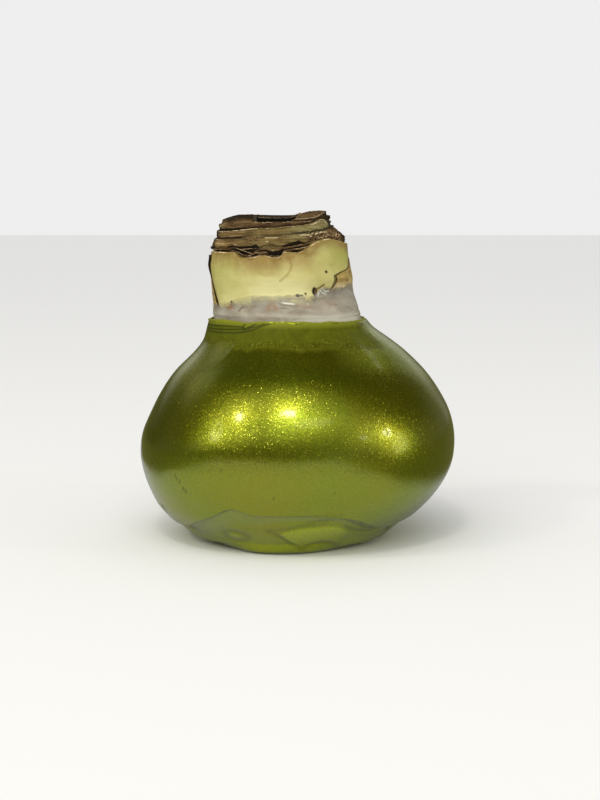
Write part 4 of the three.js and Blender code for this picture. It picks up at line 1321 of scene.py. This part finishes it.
def thin_brown_marks(b, z, below, above):
    """Colour marks of the thin brown scale; its dark mark is painted shade above the cut round it,
    on the dome and at the far right.
    """
    dome = smooth(-b, -244, -240)
    line = mix(0.45, 0.75, smooth(-b, -238, -222))
    shade = np.exp(-spot(b, z, (210, 98.4), (4.4, 0.7)) ** 2) * smooth(b, 194, 200)
    far_right = np.maximum(smooth(b, 325, 334) * (b > 180), side_shade(b) * (z > 97.3))
    dark = 0.95 * (1 - smooth(above, line, line + 0.2)) * dome
    for other in (0.75 * (1 - dome) * np.exp(-((above - 0.4) / 0.25) ** 2), 0.85 * shade,
                  0.6 * (1 - smooth(below, 0.25, 0.6)) * dome, 0.75 * far_right,
                  0.4 * dome * np.exp(-((z - 97.2 - 0.03 * turn(b, 225)) / 0.16) ** 2)):
        dark = np.maximum(dark, other)
    green = 0.8 * smooth(-b, -201, -193) * smooth(b, 150, 176) * (1 - shade)
    return {"green": green, "crust": 0.25 * dome, "dark": dark, "cream": 0 * b,
            "tan": np.maximum(0.6 * dome, 0.3), "below": below + 0.4 * dome}


def papery_front():
    """A few thin dried layers at the front of the cut, waved and split, with painted shade between
    them.
    """
    layers = []
    for n, rows in enumerate(PAPERY_LAYERS):
        u = np.linspace(0, 1, 280)[:, None]
        v = np.concatenate([np.linspace(0, 0.8, 4), np.linspace(0.83, 1, 20)])[None, :]
        b = mix(rows[0][0], rows[-1][0], u)
        top = along(rows, b) + wavy(b, 71 + n, 40, 0.04) + wavy(b, 81 + n, 110, 0.03)
        z = mix(POCKET_FLOOR + GAP, top, v)
        rise = smooth(v, 0.8, 1.0)
        waved = rise * wavy(b, 91 + n, 30, 0.10)
        inset = inset_of(2.0, 2.2, b) + 0.16 + 0.42 * n - waved
        below = top - z
        face = mix(0.16, 0.34, smooth(b, 274, 280)) + (n == 0) * 0.3
        face = face + (n == 1) * 0.28 * smooth(b, 246, 250) * (1 - smooth(b, 257, 259))
        # Painted shade in the gaps: each layer is dark below its thin light face.
        dark = 0.97 * smooth(below, face, face + 0.14)
        if n == 2:
            dark = np.maximum(dark, 0.70 * smooth(b, 259.5, 261) * (1 - smooth(b, 270, 273))
                              * smooth(below, 0.12, 0.3))
        marks = {"below": below + (0.1 if n == 0 else 0.0), "green": 0 * z, "crust": 0 * z,
                 "cream": 0 * z, "tan": 0.8 + 0 * z, "dark": dark}
        layers.append(sheet(on_outline(NECK_OUTLINE, b, z, inset),
                            on_outline(NECK_OUTLINE, b, z, inset + 0.14), marks))
    return join_sheets("papery_scale_layers", layers, papery)


def neck_scale(name, own, following, cut_of, around_of, material, look, seed, strata=0.06,
               stand=None, crusty=1.0):
    """A scale that runs round the neck, with fine layers down its face and a rough cut edge.

    own and following are its outline and that of the next scale inwards. cut_of and around_of
    give its cut and that of the scale round it. look gives its marks from bearing, height,
    distance under its own cut and height over the cut round it. stand gives how far it leans out.
    """
    b = bearings(420, 150)[None, :]
    cut, around, fray = cut_of(b), around_of(b), crusty * frayed(b)
    foot = POCKET_FLOOR + GAP
    rings = Rings(b, RING_MARKS)

    def put(points, below, z):
        found = look(b, z + 0 * b, below + 0 * b, z - around)
        # Painted shade low in the gap, below the cut of the scale round it.
        found["dark"] = np.maximum(found["dark"], 0.7 * smooth(around - z, 0.3, 1.6))
        rings.put(points, {"below": below, **found})

    def outside(z, out):
        extra = stand(b, z) if stand else 0.0
        return on_outline(NECK_OUTLINE, b, z, inset_of(*own, b) - out - extra)

    def inside(z, out):
        return on_outline(NECK_OUTLINE, b, z, inset_of(*following, b) - GAP - out)

    put(outside(foot, 0), 20.0, foot)
    put(outside(OUTSIDE_STEP, 0), 9.0, OUTSIDE_STEP)
    for below in np.concatenate([np.linspace(6.0, 4.4, 5), np.linspace(4.3, 0.3, 46), [0.2, 0.1]]):
        z = cut - below
        lines = strata * np.sin(TURN * (below / 0.85 + 0.35 * wavy(b, seed + 2, 5, 0.6)))
        lines = lines * smooth(below, 0.2, 0.7) * (0.55 + 0.45 * wavy(b, seed + 3, 9, 0.8))
        rough = fray * ripple(b, z, seed + 4, 0.9, 0.25) + ripple(b, z, seed + 5, 4.0, 0.04)
        put(outside(z, lines + rough), below, z)
    put(outside(cut - 0.03, -0.06), 0.0, cut)
    for share in (0.15, 0.4, 0.7, 0.9):
        z = cut + 0.08 * share - 0.08 * np.sin(HALF_TURN * share)
        z = z + ripple(b, 6 * share + 0 * b, seed + 6, 2.0, 0.05)
        put(mix(outside(z, 0), inside(z, 0), share), 0.05 + 0.3 * share, z)
    put(inside(cut + 0.06, 0), 0.4, cut)
    put(inside(cut - 0.6, 0), 0.9, cut)
    put(inside(INSIDE_STEP, 0), 9.0, INSIDE_STEP)
    put(inside(foot, 0), 20.0, foot)
    return rings.piece(name, material, loop=True)


def right_bulge(b, z):
    """The outermost dried scales bulge at the right end, most at their base."""
    return 1.5 * smooth(np.cos(np.radians(b - 356)), 0.86, 0.97) * (1 - smooth(z, 93.2, 96.8))


def left_bulge(b, z):
    """Over the bulb's cut wall the dried scales lean out at the left end."""
    at_left = smooth(np.cos(np.radians(b - 186)), 0.80, 0.97)
    return at_left * smooth(z, 88.9, 89.6) * (1 - smooth(z, 90.2, 92.6))


def slot_rim(b, z, share=1.0):
    """Points round the slot in the heart at a height, at a share of its width."""
    t = np.radians(b)
    x, y = SLOT_X + share * SLOT_HALF_X * np.cos(t), share * SLOT_HALF_Y * np.sin(t)
    return np.stack(np.broadcast_arrays(x, y, z), -1)


def core_top(b, s):
    """The heart's upper face, from its edge (s = 0) to the slot's lip (s = 1), and its marks, with
    painted light on its back rim.
    """
    behind, to_left = np.sin(np.radians(b)), -np.cos(np.radians(b))
    crusty = smooth(np.cos(np.radians(b - 12)), 0.55, 0.85)
    rough = ripple(b, 14 * s, 131, 3.4, 0.10)
    rough = rough + crusty * ripple(b, 14 * s, 132, 1.1, 0.20, radius=14)
    z = mix(edge(CORE_EDGE, b), edge(CORE_LIP, b), s) + edge(CORE_CROWN, b) * np.sin(np.pi * s)
    z = z + np.sin(np.pi * np.clip(s, 0, 1)) ** 0.5 * rough
    outside = on_outline(NECK_OUTLINE, b, np.minimum(z, 101.2), inset_of(*CORE, b))
    points = mix(outside, slot_rim(b, z), (s + 0 * b)[..., None])
    x, y = points[..., 0], points[..., 1]
    peg = np.exp(-(((x - 0.5) / 1.25) ** 2 + ((y + 1.7) / 1.7) ** 2) ** 2)
    points[..., 2] = np.minimum(z + 1.15 * peg * (1 - smooth(s, 0.93, 1.0)), 101.3)
    lit_back_rim = np.exp(-((s - 0.88) / 0.035) ** 2) * smooth(behind, 0.2, 0.6)
    end = np.exp(-((s - 0.92) / 0.04) ** 2) * smooth(to_left, 0.5, 0.9)
    dark = 0.62 * smooth(-np.cos(np.radians(b - 350)), -0.62, -0.35) + 0.2
    dark = dark * (1 - 0.6 * lit_back_rim)
    dark = np.maximum(dark, 0.9 * (1 - smooth(s, 0.04, 0.10)) * smooth(behind, 0.1, 0.5))
    dark = np.maximum(dark, 0.35 * smooth(np.sin(np.radians(b - 300)), 0.7, 0.95) * crusty)
    # Painted shade: black towards the slot's lip.
    dark = mix(dark, 1.0, smooth(s, 0.945, 0.99)) * (1 - peg)
    return points, {"below": 0.35 + 4 * s, "green": 0.25 * peg, "crust": crusty * (1 - peg),
                    "dark": dark, "tan": np.clip(0.35 + peg, 0, 1), "cream": 0.35 * lit_back_rim + 0.4 * end}


def core():
    """The dried heart of the neck: its side, its upper face and the slot in it, painted black as
    shade.
    """
    b = bearings(340, 220)[None, :]
    foot = POCKET_FLOOR + GAP
    rings = Rings(b, RING_MARKS)

    def side(z, out=0.0):
        return on_outline(NECK_OUTLINE, b, z, inset_of(*CORE, b) - out)

    rings.put(side(foot), {"below": 9, "dark": 0.7})
    top, around = edge(CORE_EDGE, b), thin_brown_cut(b)
    right = smooth(np.cos(np.radians(b - 12)), 0.70, 0.85)
    for below in np.concatenate([[10.0, 4.5], np.linspace(3.2, 0.12, 26)]):
        z = top - below
        above = z - around
        face = ripple(b, z, 135, 1.6, 0.10, radius=14) * smooth(below, 0.1, 0.5)
        crusty = np.maximum(right, 0.6 * smooth(above, 0.9, 1.5))
        # The dark mark paints shade just above the thin brown scale's cut and at the sides.
        found = {"below": below, "crust": crusty * smooth(above, 0.8, 1.2), "tan": 0.5,
                 "cream": 0.45 * np.exp(-((above - 0.85) / 0.14) ** 2) * smooth(b, 300, 306),
                 "dark": np.maximum(0.9 * np.exp(-((above - 0.25) / 0.28) ** 2), 0.5 * side_shade(b))}
        rings.put(side(z, face * (above > -0.5)), found)
    for s in np.linspace(0, 1, 40):
        rings.put(*core_top(b, s))
    # Painted shade: the slot's walls are coloured black.
    for drop, share in ((0.5, 1.0), (1.6, 0.95), (3.0, 0.8)):
        rings.put(slot_rim(b, edge(CORE_LIP, b) - drop, share), {"below": 9, "dark": 1.0})
    return rings.piece("dried_core", core_tissue, start=(MIDDLE_X, 0, foot),
                       end=(SLOT_X, 0, SLOT_FLOOR - 0.6))


# ---------------------------------------------------------------- torn fibres, by geometry nodes
def fibre_tree():
    """Thin shreds scattered over a patch of surface, lying nearly flat on it."""
    tree = bpy.data.node_groups.new("torn fibres", "GeometryNodeTree")
    for label, kind, value in (
            ("Patch", "Geometry", None), ("Per area", "Float", 2.0e6), ("Length", "Float", 0.0011),
            ("Width", "Float", 0.00008), ("Seed", "Int", 3), ("Tissue", "Material", None)):
        socket = tree.interface.new_socket(label, in_out="INPUT", socket_type="NodeSocket" + kind)
        if value is not None:
            socket.default_value = value
    tree.interface.new_socket("Shreds", in_out="OUTPUT", socket_type="NodeSocketGeometry")
    build = Tree(tree)
    entry = build.add("NodeGroupInput").outputs
    points = build.add("GeometryNodeDistributePointsOnFaces", {
        "Mesh": entry["Patch"], "Density": entry["Per area"], "Seed": entry["Seed"]})
    shred = build.add("GeometryNodeMeshCone", {
        "Vertices": 4, "Radius Top": 0.0, "Radius Bottom": entry["Width"],
        "Depth": entry["Length"]})
    lean = build.add("FunctionNodeRandomValue", {
        0: (1.15, -0.35, 0.0), 1: (1.65, 0.35, TURN), "Seed": 5}, data_type="FLOAT_VECTOR")
    turned = build.add("FunctionNodeRotateRotation", {
        0: points.outputs["Rotation"],
        1: build.add("FunctionNodeEulerToRotation", {0: lean.outputs[0]}).outputs[0]},
        rotation_space="LOCAL")
    size = build.add("FunctionNodeRandomValue", {
        0: (0.6, 0.5, 0.35), 1: (1.5, 1.0, 1.3), "Seed": 9}, data_type="FLOAT_VECTOR")
    placed = build.add("GeometryNodeInstanceOnPoints", {
        "Points": points.outputs["Points"], "Instance": shred.outputs["Mesh"],
        "Rotation": turned.outputs[0], "Scale": size.outputs[0]})
    solid = build.add("GeometryNodeRealizeInstances", {0: placed.outputs[0]})
    finished = build.add("GeometryNodeSetMaterial", {
        0: solid.outputs[0], "Material": entry["Tissue"]})
    leave = build.add("NodeGroupOutput")
    build.set(leave.inputs["Shreds"], finished.outputs[0])
    return tree


def grown_on(name, points, faces, tree, material, **sizes):
    """Runs a geometry node tree over a patch and keeps the result as a plain mesh."""
    patch = make_piece(name + "_patch", points, faces, material)
    modifier = patch.modifiers.new("grow", "NODES")
    modifier.node_group = tree
    names = {s.name: s.identifier for s in tree.interface.items_tree if s.in_out == "INPUT"}
    for label, value in {"Tissue": material, **sizes}.items():
        modifier[names[label.replace("_", " ").capitalize()]] = value
    graph = bpy.context.evaluated_depsgraph_get()
    mesh = bpy.data.meshes.new_from_object(patch.evaluated_get(graph))
    bpy.data.objects.remove(patch)
    mesh.name = name
    obj = bpy.data.objects.new(name, mesh)
    bpy.context.scene.collection.objects.link(obj)
    if not mesh.materials:
        mesh.materials.append(material)
    return obj


def crust_fibres():
    """Two patches of shreds: on the heart's upper face and on the outer fleshy scale."""
    tree = fibre_tree()
    b = np.linspace(-52, 62, 60)[None, :]
    s = np.linspace(0.04, 0.85, 14)[:, None]
    grid, _ = core_top(b + 0 * s, s + 0 * b)
    faces = strip_faces(14, 60, False, wrap=False)
    top = grown_on("core_fibres", grid.reshape(-1, 3) - [0, 0, 0.25], faces, tree, core_tissue,
                   per_area=3.2e6, length=0.0010, width=0.00009, seed=3)
    b = np.linspace(302, 352, 50)[None, :]
    below = np.linspace(3.0, 0.6, 10)[:, None]
    z = fleshy_outer_cut(b) - below
    grid = on_outline(NECK_OUTLINE, b + 0 * z, z, inset_of(*FLESHY_OUTER, b) - right_bulge(b, z))
    faces = strip_faces(10, 50, False, wrap=False)
    side = grown_on("edge_fibres", grid.reshape(-1, 3), faces, tree, papery,
                    per_area=4.0e6, length=0.0012, width=0.00009, seed=8)
    return top, side


# ---------------------------------------------------------------- putting it together
pieces = [
    (wax_coat(), "green_wax", ("wax_coat",)),
    (wax_band(), "pale_wax", ("wax_undercoat_band",)),
    (bulb_body(), "bulb_flesh", ("bulb",)),
    (back_scale(), "old_scale", ("outer_scale_back",)),
    (papery_front(), "papery_scale", ("papery_scale_front",)),
    (neck_scale("papery_scale_ring", PAPERY, FLESHY_OUTER, papery_cut, neck_cut, papery,
                papery_marks, 101, strata=0.08,
                stand=lambda b, z: 0.6 * right_bulge(b, z) + 1.3 * left_bulge(b, z)),
     "papery_scale", ("papery_scale_inner",)),
    (neck_scale("fleshy_scale_ring_outer", FLESHY_OUTER, FLESHY_INNER, fleshy_outer_cut, papery_cut,
                cut_flesh, fleshy_outer_marks, 111,
                stand=lambda b, z: right_bulge(b, z) + 1.2 * left_bulge(b, z)),
     "cut_scale", ("fleshy_scale_outer",)),
    (neck_scale("fleshy_scale_ring_inner", FLESHY_INNER, THIN_BROWN, fleshy_inner_cut,
                fleshy_outer_cut, cut_flesh, fleshy_inner_marks, 121, crusty=0.0),
     "cut_scale", ("fleshy_scale_inner",)),
    (neck_scale("thin_brown_ring", THIN_BROWN, CORE, thin_brown_cut, fleshy_inner_cut, papery,
                thin_brown_marks, 141, strata=0.04),
     "papery_scale", ("thin_brown_scale",)),
    (core(), "core", ("core_scales",)),
]
core_shreds, edge_shreds = crust_fibres()
pieces += [(core_shreds, "core", ()), (edge_shreds, "papery_scale", ())]
for piece, slot, nodes in pieces:
    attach(piece, "root")
    if nodes:
        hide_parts(*nodes)


# ---------------------------------------------------------------- table, light and camera
TABLE_HALF = 4000.0
TABLE_TOP_Z = -0.1


def floor():
    """The table top, which is not part of the bulb."""
    corners = [[x * TABLE_HALF, y * TABLE_HALF, TABLE_TOP_Z]
               for x, y in ((-1, -1), (1, -1), (1, 1), (-1, 1))]
    obj = make_piece("table_top", corners, [[0, 1, 2, 3]], floor_material())


# Name, direction, distance, size, power, colour, and whether it also lights matt surfaces.
LAMPS = (
    ("lamp_main", (-0.128, -0.665, 0.736), 1.0, (0.15, 0.09), 1.28, (1.0, 0.98, 0.86), True),
    ("glow_main", (0.13, -0.76, 0.63), 1.0, (0.46, 0.12), 0.36, (1.0, 0.98, 0.70), False),
    ("lamp_left", (-0.618, -0.475, 0.625), 1.0, (0.12, 0.09), 0.74, (1.0, 0.98, 0.88), True),
    ("lamp_far_left", (-0.806, -0.350, 0.432), 1.0, (0.15, 0.13), 0.36, (1.0, 0.96, 0.55), True),
    ("lamp_right", (0.852, -0.390, 0.345), 1.0, (0.10, 0.09), 0.44, (1.0, 0.98, 0.90), True),
    ("glow_right", (0.95, -0.27, 0.12), 1.0, (0.26, 0.40), 0.50, (1.0, 0.95, 0.70), True),
    ("lamp_low_right", (0.675, -0.643, 0.362), 1.0, (0.09, 0.06), 0.07, (1.0, 1.0, 1.0), True),
    ("window_right", (0.50, 0.45, 0.74), 0.9, (0.26, 0.09), 0.08, (1.0, 1.0, 1.0), False),
)
LAMPS_AIM = (0, 0, 0.05)
# Parts of the room that the wax mirrors as pale: strength, then an axis with its ramp's ends.
PALE_PARTS = (
    (1.0, ("Y", 0.70, 0.85), ("Z", 0.10, 0.28), ("Z", 0.92, 0.75)),
    (0.60, ("X", -0.45, -0.60), ("Y", 0.15, 0.35), ("Y", 0.66, 0.56), ("Z", 0.38, 0.54),
     ("Z", 0.77, 0.65)),
    (0.36, ("X", 0.64, 0.56), ("X", 0.40, 0.46), ("Y", 0.52, 0.66), ("Z", 0.78, 0.66)),
    (0.13, ("X", -0.80, -0.92), ("Y", -0.1, 0.2), ("Z", 0.42, 0.16)),
    (0.14, ("X", 0.05, 0.45), ("Z", 0.42, 0.16)),
)
ROOM_DARK, ROOM_DIM = (0.084, 0.080, 0.021, 1), (0.60, 0.59, 0.34, 1)
ROOM_PALE = (0.72, 0.72, 0.71, 1)
ROOM_LIGHT = (0.48, 0.48, 0.48, 1)
ROOM_BACKDROP = (0.86, 0.86, 0.86, 1)


def area_light(name, direction, distance, size, power, colour, diffuse):
    """A soft light at a direction from the bulb, facing it."""
    light = bpy.data.lights.new(name, "AREA")
    light.shape = "ELLIPSE"
    light.size, light.size_y = size
    light.energy = power
    light.color = colour
    obj = bpy.data.objects.new(name, light)
    way = Vector(direction).normalized()
    obj.location = Vector(LAMPS_AIM) + way * distance
    obj.rotation_euler = way.to_track_quat("Z", "Y").to_euler()
    obj.visible_diffuse = diffuse
    bpy.context.scene.collection.objects.link(obj)


def daylight(name, direction, strength, angle):
    """Very soft even light from one side, which isn't mirrored in the wax."""
    light = bpy.data.lights.new(name, "SUN")
    light.energy, light.angle = strength, np.radians(angle)
    obj = bpy.data.objects.new(name, light)
    obj.rotation_euler = Vector(direction).to_track_quat("Z", "Y").to_euler()
    obj.visible_glossy = False
    bpy.context.scene.collection.objects.link(obj)


def surroundings():
    """Even pale room; in reflections it is dim on the camera's side and pale behind the bulb."""
    world = bpy.data.worlds.new("surroundings")
    bpy.context.scene.world = world
    world.use_nodes = True
    world.cycles.sampling_method = "NONE"
    shade = Tree(world.node_tree)
    way = shade.add("ShaderNodeTexCoord").outputs["Generated"]
    parts = shade.add("ShaderNodeSeparateXYZ", {0: way}).outputs
    pale = shade.highest(*[
        shade.times(strength, *[shade.ramp(parts[axis], low, high) for axis, low, high in limits])
        for strength, *limits in PALE_PARTS])
    height = shade.plus(
        shade.math("ARCTAN2", parts["Z"], shade.times(parts["Y"], -1.0)),
        shade.times(parts["X"], 0.18))
    front = shade.times(shade.ramp(height, 0.35, 0.80), shade.ramp(height, 1.30, 0.95),
                        shade.ramp(parts["Y"], 0.05, -0.25))
    mirrored = shade.blend(pale, shade.blend(front, ROOM_DARK, ROOM_DIM), ROOM_PALE)
    path = shade.add("ShaderNodeLightPath").outputs
    background = world.node_tree.nodes["Background"].inputs
    shade.set(background["Color"], shade.layers(
        ROOM_LIGHT, (path["Is Glossy Ray"], mirrored), (path["Is Camera Ray"], ROOM_BACKDROP)))
    background["Strength"].default_value = 1.0


SENSOR = 24.0
FOCAL_PIXELS, RENDER_HEIGHT = 1552.4, 800
CAMERA_AT = (0.0008, -0.480, 0.105)
CAMERA_DOWN = 7.406


def camera():
    """Stands 0.48 m in front of the bulb and looks a little down."""
    lens = bpy.data.cameras.new("camera")
    lens.sensor_fit = "VERTICAL"
    lens.sensor_height = SENSOR
    lens.lens = SENSOR * FOCAL_PIXELS / RENDER_HEIGHT
    lens.clip_start, lens.clip_end = 0.01, 50.0
    obj = bpy.data.objects.new("camera", lens)
    obj.location = CAMERA_AT
    obj.rotation_euler = (np.radians(90 - CAMERA_DOWN), 0, 0)
    bpy.context.scene.collection.objects.link(obj)
    bpy.context.scene.camera = obj


floor()
surroundings()
daylight("soft_daylight", (-0.16, -0.72, 0.68), 1.55, 60)
for lamp in LAMPS:
    area_light(*lamp)
camera()
bpy.context.scene.view_settings.view_transform = "Standard"
